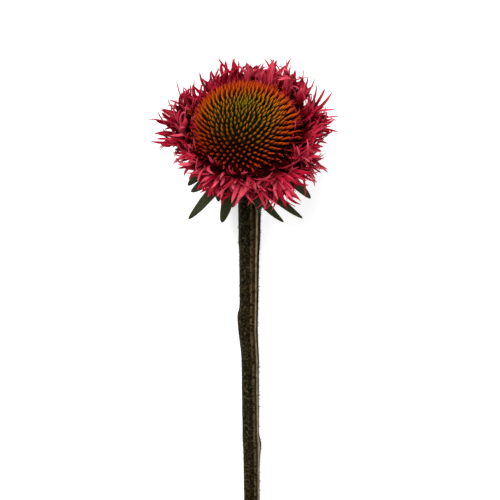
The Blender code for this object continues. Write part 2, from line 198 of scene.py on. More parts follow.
# How much deeper the florets are split towards the viewer, how much paler they are painted there, and how
# much paler they are painted on one side: both are painted light
FRONT_DEEPER = 0.35
FRONT_PAINTED_LIGHT = 0.22
SIDE_PAINTED_LIGHT = 0.55
SIDE_PAINTED_LIGHT_AZIMUTH = radians(318)
# How freely the florets twist, sweep and curl towards the viewer, to the sides and away
WILDNESS = (1.55, 1.0, 0.75)
# How far the florets reach round the head, as a share of their row's length, by azimuth in degrees
REACHES = (
    (0, 0.98), (20, 0.86), (40, 1.21), (60, 1.36), (120, 1.0), (140, 0.84),
    (158, 0.64), (178, 0.95), (200, 1.05), (215, 0.84), (235, 0.66), (252, 0.86),
    (270, 0.85), (290, 1.0), (318, 0.94), (342, 1.0), (360, 0.98),
)
SHEET_THICKNESS = 0.2 * MM
# The rows that fill the ruff between the main florets, and the small red florets at the rim of the cone,
# in the same order of values
FILL_SEED = 35
FILL_ROWS = (
    (28, 12.8, 1.2, -12, (11.0, 13.0, 12.5), (-50, -14, -10)),
    (30, 13.2, 2.2, 0, (11.5, 14.5, 16.0), (-36, 22, 44)),
    (34, 13.4, 3.4, 8, (9.0, 14.5, 18.5), (-20, 66, 94)),
)
RIM_SEED = 29
RIM_ROWS = (
    (26, 15.0, 3.2, 10, (4.2, 7.5, 11.0), (-8, 78, 98)),
    (34, 14.2, 4.4, 50, (2.6, 6.5, 9.5), (30, 84, 100)),
)
# A row of narrow florets that lean in over the cone's rim
EDGE_SEED = 41
EDGE_ROWS = (
    (46, 15.6, 4.6, 64, (2.2, 8.8, 8.0), (60, 112, 106)),
)
# The breadth of these florets as a share of a main floret's, how far their roots scatter in mm, and the
# share of the cone's room that the small ones leave free
FILL_BREADTH = 0.9
EDGE_BREADTH = 0.45
RIM_BREADTH = 0.30
EDGE_SCATTER = 1.0
RIM_SCATTER = 1.2
RIM_ROOM = 0.9
# How much more of their length is darkened with painted shade on the florets that fill the ruff
INNER_PAINTED_SHADE = 0.22
# The small rim florets are almost black at the root, which is painted shade, and orange at the tip
RIM_SHADED_ROOT_COLOUR = (0.006, 0.0005, 0.0002)
RIM_TIP_COLOUR = (0.420, 0.070, 0.006)

BRACT_SEED = 7
BRACT_FINE_SEED = 23
BRACT_ROOT_RADIUS = 8.6 * MM
BRACT_ROOT_HEIGHT = -1.35 * MM
BRACT_WIDTH = 4.0 * MM
BRACT_KEEL = 0.35 * MM
BRACT_FLUTE = 0.10 * MM
BRACT_RIPPLE = 0.22 * MM
# How many degrees a bract leans down where it leaves the cup
BRACT_LEAN = 14
# The bracts that show below the florets: azimuth in degrees, length in mm, droop in degrees, and how far
# the tip sweeps aside as a share of the length
FRONT_BRACTS = (
    (41, 21.0, 50, 0.27),
    (61, 16.0, 45, 0.45),
    (68, 14.0, 48, -0.07),
    (75, 21.5, 26, 0.46),
    (81, 16.5, 55, 0.03),
    (87, 20.0, 47, 0.48),
    (105, 14.5, 50, -0.06),
    (109, 21.5, 58, -0.14),
    (123, 22.5, 26, -0.20),
    (127, 14.5, 55, 0.0),
    (138, 17.0, 54, -0.45),
    (153, 15.5, 40, -0.20),
)
BACK_BRACT_AZIMUTHS = range(184, 376, 24)
BACK_BRACT_LENGTH = 14 * MM
BACK_BRACT_DROOP = 36
# Short bracts between cup and florets: how many, their lengths in mm, droop in degrees, and breadth
INNER_BRACTS = 22
INNER_BRACT_LENGTHS = (7.5, 11.5)
INNER_BRACT_DROOP = 26
INNER_BRACT_WIDTH = 0.8 * BRACT_WIDTH

# The stem, as in the solids
STEM_LENGTH = 139 * MM
STEM_BEND_LENGTH = 28 * MM
STEM_SLOPE = radians(3.7)
# How far the stem has gone to the side, at distances from the head, in mm: it kinks at the leaf node
STEM_DRIFTS = (
    (0, 0), (20, 1.25), (50, 1.05), (62, 0.90),
    (75, 1.45), (98, 1.60), (108, 1.90), (139, 2.10),
)
STEM_RIDGES = 9
STEM_RIDGE_DEPTH = 0.26 * MM
STEM_RADII = (
    (0, 5.6), (5, 4.5), (12, 3.9), (24, 3.6), (33, 3.5),
    (38, 3.2), (60, 3.0), (78, 2.75), (106, 2.65), (139, 2.35),
)
# Bumps: distance from the head, place round the stem, height, and reach up and down the stem
LEAF_NODE = (58.5 * MM, radians(180), 0.65 * MM, 1.8 * MM, 7.0 * MM)
LEAF_SCAR = (102 * MM, radians(0), 0.75 * MM, 2.0 * MM, 4.0 * MM)
BUMP_REACH_ROUND = 0.6
STEM_STEPS = 170
STEM_SIDES = 90
STEM_FURROW_DEPTH = 0.05 * MM
STEM_WRINKLE_DEPTH = 0.04 * MM
STEM_WRINKLES = 31
# One step of the skin's UV map along the stem
STEM_UV_STEP = 2 * pi * 3 * MM
PIT_COLOUR = (0.003, 0.002, 0.0006)
CUT_FLESH_COLOUR = (0.19, 0.15, 0.07)
CUT_PITH_COLOUR = (0.45, 0.38, 0.25)
BRISTLE_COLOUR = (0.12, 0.095, 0.045)
HAIR_RADIUS = 0.055 * MM
HAIR_BEND = 0.18 * MM
HAIR_TILTS = ((-0.6, -0.9, -0.4), (0.6, 0.5, 0.6))
HAIR_SPREAD_SEED = 4
HAIR_TILT_SEED = 8
HAIR_SIZE_SEED = 21

# The picture is square, and the head's foot shows at this pixel of it
PICTURE_PIXELS = 500
FOOT_PIXEL = (246, 144)
SENSOR_WIDTH = 36
FLOOR_SIZE = 6
FLOOR_GREY = 0.85
FLOOR_GLOW = 0.6
# The lamps: name, place, diameter, and power as a share of the main one's
LAMPS = (
    ("key_light", (-0.25, 0.55, 0.80), 0.70, 1.0),
    ("front_light", (0.35, -0.15, 0.90), 0.50, 0.30),
)

HEAD_TURNING = Matrix.Rotation(HEAD_TURN, 3, "Z")
HEAD_RIGHT = HEAD_TURNING @ Vector((1, 0, 0))
HEAD_AXIS = HEAD_TURNING @ Vector((0, cos(HEAD_ELEVATION), sin(HEAD_ELEVATION)))
HEAD_FRONT = HEAD_RIGHT.cross(HEAD_AXIS)


def find_head_foot():
    """Return the foot of the head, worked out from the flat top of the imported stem."""
    corners = {tuple(round(x, 6) for x in v.co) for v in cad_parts["stem"].data.vertices}
    highest = max(Vector(c).dot(HEAD_AXIS) for c in corners)
    ring = [Vector(c) for c in corners if highest - Vector(c).dot(HEAD_AXIS) < 0.02 * MM]
    middle = sum(ring, Vector()) / len(ring)
    return middle + HEAD_AXIS * (CUP_HEIGHT + JOINT_GAP)


HEAD_FOOT = find_head_foot()
HEAD_PLACE = Matrix((
    (HEAD_RIGHT.x, HEAD_FRONT.x, HEAD_AXIS.x, HEAD_FOOT.x),
    (HEAD_RIGHT.y, HEAD_FRONT.y, HEAD_AXIS.y, HEAD_FOOT.y),
    (HEAD_RIGHT.z, HEAD_FRONT.z, HEAD_AXIS.z, HEAD_FOOT.z),
    (0, 0, 0, 1),
))


# Places about the head


def outward(azimuth):
    """Return the direction away from the head's axis: 0 is right, 90 degrees is towards the viewer."""
    return HEAD_RIGHT * cos(azimuth) + HEAD_FRONT * sin(azimuth)


def head_point(radius, azimuth, height):
    return HEAD_FOOT + outward(azimuth) * radius + HEAD_AXIS * height


def in_head(point):
    """Return the radius, azimuth and height of a point about the head's axis."""
    offset = point - HEAD_FOOT
    x = offset.dot(HEAD_RIGHT)
    y = offset.dot(HEAD_FRONT)
    return hypot(x, y), atan2(y, x), offset.dot(HEAD_AXIS)


def by_side(azimuth, front, sides, back):
    """Return a value that goes smoothly from the front over the sides to the back of the head."""
    facing = sin(azimuth)
    end = front if facing > 0 else back
    return sides + (end - sides) * abs(facing) ** 1.3


def reach_at(azimuth):
    """Return the share of its row's length that a floret reaches at an azimuth."""
    degrees_round = azimuth * 180 / pi % 360
    for (a, start), (b, end) in zip(REACHES, REACHES[1:]):
        if degrees_round <= b:
            return start + (end - start) * smooth((degrees_round - a) / (b - a))


def divide_height(radius):
    return DIVIDE_HEIGHT - DIVIDE_SLOPE * (radius - DIVIDE_RADIUS)


def gap_height(radius, azimuth):
    """Return the height that the florets stay below, which rises away from the front of the cone."""
    aside = smooth(abs(azimuth - GAP_AZIMUTH) / GAP_REACH)
    return GAP_HEIGHT + max(radius - CONE_ROOM_RADIUS, 0) * GAP_SLOPE + aside * GAP_FADE


def smooth(x):
    x = min(max(x, 0), 1)
    return x * x * (3 - 2 * x)


# Meshes


class SheetHeap:
    """Gathers thin closed sheets into one mesh, with a way along each, a shade and a UV place."""

    def __init__(self):
        self.vertices = []
        self.faces = []
        self.way = []
        self.shade = []
        self.uv = []

    def add(self, points, faces, thickness, ways, uvs, shade):
        """Add a sheet as a closed body of an even thickness, which stays above the ground."""
        normals = [Vector() for _ in points]
        edges = set()
        for face in faces:
            corner = points[face[0]]
            normal = (points[face[1]] - corner).cross(points[face[-1]] - corner)
            for i in face:
                normals[i] += normal
            edges.update(zip(face, face[1:] + face[:1]))
        first = len(self.vertices)
        count = len(points)
        for side in (0.5, -0.5):
            for i, point in enumerate(points):
                vertex = point + normals[i].normalized() * thickness * side
                vertex.z = max(vertex.z, 0)
                self.vertices.append(vertex)
            self.way += ways
            self.uv += uvs
            self.shade += [shade] * count
        for face in faces:
            self.faces.append(tuple(first + i for i in face))
            self.faces.append(tuple(first + count + i for i in reversed(face)))
        for a, b in edges:
            if (b, a) not in edges:
                self.faces.append((first + b, first + a, first + a + count, first + b + count))

    def add_solid(self, vertices, faces, way, shade):
        """Add a closed body that has one way and one shade."""
        first = len(self.vertices)
        self.vertices += vertices
        self.faces += [tuple(first + i for i in face) for face in faces]
        self.way += [way] * len(vertices)
        self.uv += [(0.5, way)] * len(vertices)
        self.shade += [shade] * len(vertices)

    def to_piece(self, name, material):
        """Make the gathered sheets one object."""
        mesh = bpy.data.meshes.new(name)
        mesh.from_pydata([tuple(v) for v in self.vertices], [], self.faces)
        for label, values in (("way", self.way), ("shade", self.shade)):
            attribute = mesh.attributes.new(label, "FLOAT", "POINT")
            attribute.data.foreach_set("value", values)
        layer = mesh.uv_layers.new(name="surface")
        for loop in mesh.loops:
            layer.data[loop.index].uv = self.uv[loop.vertex_index]
        mesh.materials.append(material)
        mesh.shade_smooth()
        mesh.set_sharp_from_angle(angle=radians(55))
        piece = bpy.data.objects.new(name, mesh)
        bpy.context.scene.collection.objects.link(piece)
        return piece


def grid_faces(rows, columns, first=0):
    """Return the faces between points that are listed row by row, from the first point's number."""
    faces = []
    for row in range(rows - 1):
        for column in range(columns - 1):
            a = first + row * columns + column
            faces.append((a, a + 1, a + columns + 1, a + columns))
    return faces


def curled_point(azimuth, root, lean, length, sweep, twist, way, across, off):
    """Return a point of a leaf that curls from one lean to another: along it, across it and off it."""
    steps = 8
    radius, height = root
    angle = lean[0]
    for i in range(steps):
        angle = lean[0] + (lean[1] - lean[0]) * way * (i + 0.5) / steps
        radius += cos(angle) * length * way / steps
        height += sin(angle) * length * way / steps
    along = outward(azimuth) * cos(angle) + HEAD_AXIS * sin(angle)
    tangent = HEAD_AXIS.cross(outward(azimuth))
    turn = Matrix.Rotation(twist * min(way, 1), 3, along)
    point = head_point(radius, azimuth, height) + tangent * sweep * length * way * way
    point += (turn @ tangent) * across + (turn @ along.cross(tangent)) * off
    return point


def turned_shape(profile, sides):
    """Return the vertices and faces of a solid turned about the head's axis from (radius, height)."""
    vertices = [head_point(r, 2 * pi * k / sides, h) for r, h in profile for k in range(sides)]
    faces = []
    for ring in range(len(profile) - 1):
        for k in range(sides):
            a = ring * sides + k
            b = ring * sides + (k + 1) % sides
            faces.append((b, a, a + sides, b + sides))
    last = (len(profile) - 1) * sides
    faces.append(tuple(range(sides)))
    faces.append(tuple(reversed(range(last, last + sides))))
    return vertices, faces


def face_outward(mesh):
    """Turn the faces of each closed body of a mesh outward."""
    bm = bmesh.new()
    bm.from_mesh(mesh)
    bmesh.ops.recalc_face_normals(bm, faces=bm.faces)
    bm.to_mesh(mesh)
    bm.free()


def finish_piece(piece, nodes):
    """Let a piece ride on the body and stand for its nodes."""
    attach(piece, BODY)
    if nodes:
        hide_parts(*nodes)


# Node trees


def add_node(tree, kind, settings=None, inputs=None):
    """Add a node, set its properties, and link or set its inputs by name or number."""
    node = tree.nodes.new(kind)
    for name, value in (settings or {}).items():
        setattr(node, name, value)
    for key, value in (inputs or {}).items():
        if isinstance(value, bpy.types.NodeSocket):
            tree.links.new(value, node.inputs[key])
        else:
            node.inputs[key].default_value = value
    return node


def calculate(tree, operation, a, b=0.0, c=0.0):
    """Return the result of one sum on sockets or plain numbers."""
    return add_node(tree, "ShaderNodeMath", {"operation": operation}, {0: a, 1: b, 2: c}).outputs[0]


def product(tree, a, b):
    return calculate(tree, "MULTIPLY", a, b)


def between(tree, value, low, high, to_low, to_high):
    node = add_node(tree, "ShaderNodeMapRange", None, {0: value, 1: low, 2: high, 3: to_low, 4: to_high})
    return node.outputs[0]


def combine(tree, x, y, z=0.0):
    return add_node(tree, "ShaderNodeCombineXYZ", None, {0: x, 1: y, 2: z}).outputs[0]


def separate(tree, vector):
    return add_node(tree, "ShaderNodeSeparateXYZ", None, {0: vector}).outputs


def calculate_vector(tree, operation, a, b, output="Vector"):
    return add_node(tree, "ShaderNodeVectorMath", {"operation": operation}, {0: a, 1: b}).outputs[output]


def ramp(tree, value, stops):
    """Return a colour that runs through (place, colour) stops."""
    node = add_node(tree, "ShaderNodeValToRGB", None, {0: value})
    elements = node.color_ramp.elements
    while len(elements) < len(stops):
        elements.new(1)
    for element, (place, colour) in zip(elements, stops):
        element.position = place
        element.color = (*colour, 1)
    return node.outputs[0]


def blend_colours(tree, share, a, b, mode="MIX"):
    """Return the first colour with a share of the second mixed in, or multiplied in."""
    a, b = ((*colour, 1) if isinstance(colour, tuple) else colour for colour in (a, b))
    settings = {"data_type": "RGBA", "blend_type": mode}
    return add_node(tree, "ShaderNodeMix", settings, {0: share, 6: a, 7: b}).outputs[2]


def layer_colours(tree, colour, layers):
    """Lay colours over one another, each by its own share."""
    for share, layer in layers:
        colour = blend_colours(tree, share, colour, layer)
    return colour


def attribute(tree, name):
    return add_node(tree, "ShaderNodeAttribute", {"attribute_name": name}).outputs["Fac"]


def noise(tree, place, scale, detail=3.0):
    inputs = {"Vector": place, "Scale": scale, "Detail": detail}
    return add_node(tree, "ShaderNodeTexNoise", None, inputs).outputs[0]


def object_place(tree):
    return add_node(tree, "ShaderNodeTexCoord").outputs["Object"]


def surface_axes(tree):
    """Return how far across and how far along the piece's own UV map a place is."""
    uv = add_node(tree, "ShaderNodeUVMap", {"uv_map": "surface"}).outputs[0]
    return separate(tree, uv)[:2]


def vein_lines(tree, across, count, sharpness):
    """Return how much of a vein shows, with a number of veins side by side."""
    wave = calculate(tree, "COSINE", product(tree, across, count * pi))
    return calculate(tree, "POWER", calculate(tree, "ABSOLUTE", wave), sharpness)


def new_material(name, roughness, specular):
    """Return a material, its tree and its shader, with the even values set on the shader itself."""
    material = bpy.data.materials.new(name)
    material.use_nodes = True
    tree = material.node_tree
    shader = tree.nodes["Principled BSDF"]
    shader.inputs["Roughness"].default_value = roughness
    shader.inputs["Specular IOR Level"].default_value = specular
    return material, tree, shader


def paint(tree, shader, colour, height=None, strength=0.0, depth=0.0):
    """Give a shader its colour, and a bump where there is a height."""
    tree.links.new(colour, shader.inputs["Base Color"])
    if height is not None:
        inputs = {"Height": height, "Strength": strength, "Distance": depth}
        tree.links.new(add_node(tree, "ShaderNodeBump", None, inputs).outputs[0], shader.inputs["Normal"])


def floret_material(name, sizes, painted_shade_shift):
    """Crimson floret skin with veins and strokes, paler at the tips, with painted shade in the throat. A
    shift darkens more of its length with painted shade.
    """
    material, tree, shader = new_material(name, 0.6, 0.02)
    way = attribute(tree, "way")
    shade = attribute(tree, "shade")
    place = object_place(tree)
    across = surface_axes(tree)[0]
    deep = tuple(sizes.deep_colour)
    body = tuple(sizes.body_colour)
    shaded_throat = tuple(x * 0.12 for x in deep)
    tip = tuple(sizes.tip_colour)
    salmon = tuple(sizes.salmon_colour)
    # From the throat outwards: a near-black painted shade, the deep colour, the body and the tips
    colour = ramp(tree, way, (
        (0.28 + painted_shade_shift, shaded_throat), (0.44 + painted_shade_shift, deep), (0.66 + painted_shade_shift, body), (0.90, body), (1.0, tip),
    ))
    pale = blend_colours(tree, between(tree, way, 0.3, 0.9, 0.2, 1.0), body, salmon)
    lit = between(tree, way, 0.38 + painted_shade_shift, 0.70 + painted_shade_shift, 0.0, 1.0)
    colour = layer_colours(tree, colour, (
        (product(tree, between(tree, shade, 0.62, 1.05, 0.0, 0.9), lit), pale),
        (between(tree, shade, 0.0, 0.4, 0.55, 0.0), deep),
    ))
    blotch = between(tree, noise(tree, place, 420.0), 0.35, 0.7, 0.72, 1.25)
    grey = add_node(tree, "ShaderNodeCombineColor", None, {0: blotch, 1: blotch, 2: blotch}).outputs[0]
    colour = blend_colours(tree, 1.0, colour, grey, "MULTIPLY")
    x, y, z = (product(tree, a, b) for a, b in ((across, 3.2), (way, 2.2), (shade, 90.0)))
    strokes = noise(tree, combine(tree, x, y, z), 1.0, 2.0)
    vein = vein_lines(tree, across, 1, 6.0)
    # Dark strokes, pale strokes and light lines at the lobes' edges: the pale strokes and light lines on the
    # lit part are painted highlights
    colour = layer_colours(tree, colour, (
        (between(tree, strokes, 0.30, 0.46, 0.75, 0.0), deep),
        (product(tree, between(tree, strokes, 0.55, 0.68, 0.0, 0.6), lit), salmon),
        (product(tree, product(tree, vein, 0.4), lit), tip),
    ))
    height = calculate(tree, "MULTIPLY_ADD", noise(tree, place, 2600.0), 0.35, vein)
    paint(tree, shader, colour, height, 0.35, 0.12 * MM)
    return material


def rim_material(sizes):
    """Skin of the small florets by the cone: orange red, with painted shade that makes it almost black at
    the root.
    """
    material, tree, shader = new_material("rim_floret_skin", 0.5, 0.2)
    bright = tuple(sizes.rim_colour)
    stops = ((0.1, RIM_SHADED_ROOT_COLOUR), (0.75, bright), (1.0, RIM_TIP_COLOUR))
    colour = ramp(tree, attribute(tree, "way"), stops)
    crimson = between(tree, attribute(tree, "shade"), 0.5, 1.0, 0.0, 0.7)
    paint(tree, shader, blend_colours(tree, crimson, colour, tuple(sizes.body_colour)))
    return material


def spine_material(sizes):
    """Stiff chaff spines: dark at the root, orange at the tip, yellow-green near the top of the cone."""
    material, tree, shader = new_material("spine_chaff", 0.55, 0.08)
    way = attribute(tree, "way")
    ripeness = attribute(tree, "ripeness")
    shade = attribute(tree, "shade")
    place = object_place(tree)
    offset = calculate_vector(tree, "SUBTRACT", place, HEAD_FOOT)
    toward = calculate_vector(tree, "DOT_PRODUCT", offset, HEAD_FRONT, "Value")
    across = calculate_vector(tree, "DOT_PRODUCT", offset, HEAD_RIGHT, "Value")
    youngest = head_point(YOUNG_OFFSET, pi / 2, CONE_FOOT + CONE_HEIGHT)
    apart = calculate_vector(tree, "DISTANCE", place, youngest, "Value")
    far = between(tree, toward, *FAR_RANGE, 0.0, 1.0)
    aside = between(tree, calculate(tree, "ABSOLUTE", across), *SIDE_RANGE, 0.0, 1.0)
    young = between(tree, apart, *YOUNG_RANGE, 1.0, 0.0)
    green = tuple(sizes.young_colour)
    orange = tuple(sizes.ripe_colour)
    red = tuple(sizes.rim_colour)
    amber = tuple((a + b) / 2 for a, b in zip(orange, red))
    tip = ramp(tree, ripeness, ((0.0, green), (0.10, orange), (0.26, orange), (0.50, amber), (0.90, red)))
    youth = product(tree, between(tree, shade, 0.66, 0.95, 0.0, 0.85), young)
    tip = blend_colours(tree, youth, tip, green)
    root = blend_colours(tree, far, ramp(tree, ripeness, SPINE_ROOT_COLOURS), FAR_ROOT_COLOUR)
    middle = layer_colours(tree, ramp(tree, ripeness, SPINE_MIDDLE_COLOURS), (
        (young, YOUNG_MIDDLE_COLOUR),
        (far, FAR_MIDDLE_COLOUR),
    ))
    colour = layer_colours(tree, root, (
        (between(tree, way, 0.1, 0.45, 0.0, 1.0), middle),
        (between(tree, way, 0.42, 0.66, 0.0, 1.0), tip),
        (between(tree, noise(tree, place, 1800.0), 0.3, 0.7, 0.0, 0.3), middle),
    ))
    colour = blend_colours(tree, far, colour, FAR_TINT, "MULTIPLY")
    colour = blend_colours(tree, aside, colour, SIDE_TINT, "MULTIPLY")
    paint(tree, shader, colour, noise(tree, place, 4000.0), 0.2, 0.1 * MM)
    return material


def core_material():
    """The cone's surface between the spines, almost black green."""
    material, tree, shader = new_material("cone_core", 1.0, 0.0)
    inputs = {"Vector": object_place(tree), "Scale": 900.0}
    cells = add_node(tree, "ShaderNodeTexVoronoi", None, inputs).outputs[0]
    rimward = between(tree, attribute(tree, "way"), 0.55, 0.9, 0.0, 1.0)
    top = ramp(tree, cells, CORE_TOP_COLOURS)
    colour = blend_colours(tree, rimward, top, ramp(tree, cells, CORE_RIM_COLOURS))
    paint(tree, shader, colour, cells, 0.6, 0.4 * MM)
    return material


def bract_material(sizes):
    """Dark olive leaf skin with pale veins and edges, and dry brown patches."""
    material, tree, shader = new_material("bract_leaf", 0.65, 0.08)
    way = attribute(tree, "way")
    shade = attribute(tree, "shade")
    place = object_place(tree)
    across = surface_axes(tree)[0]
    dry = tuple(sizes.dry_colour)
    pale = tuple(sizes.rib_colour)
    patches = between(tree, noise(tree, place, 260.0), 0.42, 0.66, 0.0, 1.0)
    veins = vein_lines(tree, across, 5, 8.0)
    edge = calculate(tree, "ABSOLUTE", calculate(tree, "SUBTRACT", across, 0.5))
    colour = layer_colours(tree, tuple(sizes.leaf_colour), (
        (product(tree, patches, between(tree, shade, 0.2, 1.0, 0.1, 0.9)), dry),
        (product(tree, veins, 0.22), pale),
        (between(tree, edge, 0.42, 0.5, 0.0, 0.55), pale),
        (between(tree, way, 0.8, 1.0, 0.0, 0.6), dry),
    ))
    height = calculate(tree, "MULTIPLY_ADD", noise(tree, place, 2200.0), 0.5, veins)
    paint(tree, shader, colour, height, 0.4, 0.15 * MM)
    return material


def stem_material(sizes):
    """Brown-olive skin in bands along the ridges, one straw stripe, and fine pale flecks and dark pits."""
    material, tree, shader = new_material("stem_skin", 0.75, 0.04)
    place = object_place(tree)
    around, along = surface_axes(tree)
    dark = tuple(sizes.dark_colour)
    light_olive = tuple(sizes.light_olive_colour)
    streaks = noise(tree, combine(tree, product(tree, around, 26.0), product(tree, along, 9.0)), 1.0, 4.0)
    wander = product(tree, calculate(tree, "SUBTRACT", noise(tree, place, 60.0), 0.5), 0.03)
    slide = between(tree, along, 1.7, 5.2, 0.0, 0.045)
    placed = calculate(tree, "ADD", calculate(tree, "ADD", around, wander), slide)

    def band(place_round, reach, strength):
        """Return how much of a band that runs along the stem shows here."""
        apart = calculate(tree, "SUBTRACT", placed, place_round)
        return between(tree, calculate(tree, "ABSOLUTE", apart), 0.5 * reach, reach, strength, 0.0)

    flecks = between(tree, noise(tree, place, 1350.0, 2.0), 0.53, 0.60, 0.0, 0.62)
    pits = between(tree, noise(tree, place, 1100.0), 0.38, 0.47, 0.95, 0.0)
    patchy = between(tree, noise(tree, place, 330.0), 0.36, 0.60, 0.25, 1.0)
    worn = between(tree, noise(tree, place, 520.0), 0.30, 0.60, 0.45, 1.0)
    colour = layer_colours(tree, dark, (
        (between(tree, streaks, 0.40, 0.62, 0.0, 1.0), tuple(sizes.olive_colour)),
        (flecks, light_olive),
        (band(0.285, 0.055, 0.55), dark),
        (band(0.186, 0.032, 0.75), tuple(sizes.brown_colour)),
        (product(tree, band(0.232, 0.026, 0.9), patchy), light_olive),
        (pits, PIT_COLOUR),
        (band(0.104, 0.020, 0.8), dark),
        (product(tree, band(sizes.stripe_place, 0.028, 1.0), worn), tuple(sizes.straw_colour)),
    ))
    height = calculate(tree, "SUBTRACT", streaks, product(tree, pits, 0.5))
    paint(tree, shader, colour, height, 0.6, 0.25 * MM)
    return material


def plain_skin(name, colour, roughness):
    """Even skin with a fine grain, for the bristles and the cut end."""
    material, tree, shader = new_material(name, roughness, 0.3)
    darker = tuple(x * 0.55 for x in colour)
    grain = between(tree, noise(tree, object_place(tree), 1400.0), 0.35, 0.65, 0.0, 1.0)
    paint(tree, shader, blend_colours(tree, grain, darker, colour))
    return material


# Florets


def floret_sheet(heap, azimuth, root, length, lean, draw, wild, breadth, room, shade):
    """Add one floret: a narrow pleated tube mouth that widens and splits into pointed, curling lobes."""
    lobes = draw.choice(LOBE_COUNTS)
    half_width = draw.uniform(*HALF_BREADTHS) * lobes * breadth * MM
    twist = radians(draw.uniform(*TWISTS)) * wild
    sweep = draw.uniform(*SWEEPS) * max(wild, 0.5)
    channel = draw.uniform(*HOLLOWS) * min(wild, 1)
    fans = [
        radians(draw.uniform(*FAN_STEPS) * (2 * k - lobes + 1) + draw.uniform(*STRAYS)) for k in range(lobes)
    ]
    reaches = [draw.uniform(*LOBE_REACHES) for _ in range(lobes)]
    curls = [radians(draw.uniform(*CURLS)) * wild for _ in range(lobes)]
    hooks = [radians(draw.uniform(*HOOKS)) for _ in range(lobes)]
    split = draw.uniform(*SPLITS) * (1 - FRONT_DEEPER * max(sin(azimuth), 0) ** 2)
    pleat = PLEAT * breadth
    points = []
    ways = []
    uvs = []

    def put(way, across, off, u):
        """Add the point some way along the floret, across it and off it, and return its number."""
        point = curled_point(azimuth, root, lean, length, sweep, twist, way, across, off)
        points.append(clear_floret_point(point, room))
        # The stored way is shortened by painted shade near the cone's foot, which darkens the skin there
        ways.append(min(way, 1.0) * light_share(points[-1]))
        uvs.append((u, min(way, 1.0)))
        return len(points) - 1

    columns = 2 * lobes + 1
    stations = tuple(split * share for share in (0, 0.28, 0.54, 0.78, 1))
    for way in stations:
        half = half_width * (0.34 + 0.66 * smooth(way / split))
        for c in range(columns):
            share = 2 * c / (columns - 1) - 1
            rib = pleat * (1 if c % 2 else -1) * smooth(way * 3)
            put(way, half * share, rib + channel * half * share * share, c / 2)
    faces = grid_faces(len(stations), columns)
    base = (len(stations) - 1) * columns
    for k in range(lobes):
        middle = (2 * k + 1) / lobes - 1
        across = half_width * middle
        off = channel * half_width * middle * middle
        way = split
        lobe_half = half_width / lobes
        lobe_length = (1 - split) * reaches[k] * length
        last = (base + 2 * k, base + 2 * k + 1, base + 2 * k + 2)
        steps = 5
        for step in range(1, steps + 1):
            share = step / steps
            side = fans[k] + hooks[k] * share
            curl = curls[k] * share
            stride = lobe_length / steps
            across += stride * sin(side)
            off += stride * sin(curl) * cos(side)
            way += stride * cos(curl) * cos(side) / length
            if step == steps:
                tip = put(way, across, off, k + 0.5)
                faces.append((last[0], last[1], tip))
                faces.append((last[1], last[2], tip))
                break
            half = lobe_half * (1 - share ** 2.8) ** 0.75
            ring = (
                put(way, across - half * cos(side), off - pleat * 0.6, k),
                put(way, across, off + pleat * 0.9, k + 0.5),
                put(way, across + half * cos(side), off - pleat * 0.6, k + 1.0),
            )
            faces.append((last[0], last[1], ring[1], ring[0]))
            faces.append((last[1], last[2], ring[2], ring[1]))
            last = ring
    heap.add(points, faces, SHEET_THICKNESS, ways, uvs, shade)


def add_single_florets(heap, florets, seed):
    """Add florets that are listed one by one."""
    draw = random.Random(seed)
    for azimuth, length, tip_lean, breadth, shade in florets:
        lean = (SINGLE_FLORET_LEAN, radians(tip_lean))
        floret_sheet(
            heap, radians(azimuth), SINGLE_FLORET_ROOT, length * MM, lean, draw, SINGLE_FLORET_WILDNESS,
            breadth, 1, shade,
        )


def light_share(point):
    """Return how far a point of a floret is out of the painted shade by the dark gap at the foot of the
    cone.
    """
    radius, azimuth, height = in_head(point)
    clear = smooth(hypot(radius - PAINTED_SHADE_RADIUS, height - CONE_FOOT) / PAINTED_SHADE_REACH)
    aside = smooth(abs((azimuth - GAP_AZIMUTH + pi) % (2 * pi) - pi) / PAINTED_SHADE_SIDE)
    return 1 - PAINTED_SHADE_DEPTH * (1 - clear) * (1 - PAINTED_SHADE_SIDE_FADE * aside)


def clear_floret_point(point, room):
    """Move a point of a floret out of the cone's room, off the bracts and onto the surface."""
    radius, azimuth, height = in_head(point)
    if height > CONE_ROOM_FOOT:
        rise = (height - CONE_ROOM_FOOT) / (CONE_ROOM_HEIGHT * room)
        if hypot(radius / (CONE_ROOM_RADIUS * room), rise) < 1:
            radius = CONE_ROOM_RADIUS * room * sqrt(1 - rise * rise)
    highest = gap_height(radius, azimuth)
    if height > highest:
        height = highest + (height - highest) * GAP_KEPT
    height = max(height, divide_height(radius) + DIVIDE_MARGIN)
    moved = head_point(radius, azimuth, height)
    sunk = max(SHEET_LOWEST_MIDDLE - moved.z, 0)
    return moved + Vector((0, SHEET_SLIDE * sunk, sunk))


def add_floret_rows(heap, rows, draw, breadth, room, scatter, resting_length=None):
    """Add florets row by row, with their own length, lean and shade."""
    shades = random.Random(SHADE_SEED)
    for row, (count, radius, height, root_lean, lengths, tip_leans) in enumerate(rows):
        for k in range(count):
            azimuth = 2 * pi * (k + row / 3 + draw.uniform(-0.3, 0.3)) / count
            root = (radius * MM, (height + draw.uniform(-scatter, scatter)) * MM)
            grown = by_side(azimuth, *lengths) * reach_at(azimuth) * draw.uniform(0.82, 1.08) * MM
            rests = resting_length and row == 0 and abs(azimuth - radians(270)) < RESTING_REACH
            if rests:
                grown = resting_length
            wild = 0 if rests else by_side(azimuth, *WILDNESS)
            tip_lean = by_side(azimuth, *tip_leans) + draw.uniform(-20, 20) * wild
            lean = (radians(root_lean), radians(tip_lean))
            # A random shade, raised by painted light towards the viewer and on one side
            shade = shades.random() + FRONT_PAINTED_LIGHT * max(sin(azimuth), 0) ** 2
            shade += SIDE_PAINTED_LIGHT * max(cos(azimuth - SIDE_PAINTED_LIGHT_AZIMUTH), 0) ** 6
            floret_sheet(heap, azimuth, root, grown, lean, draw, wild, breadth, room, shade)


# The add-on's settings


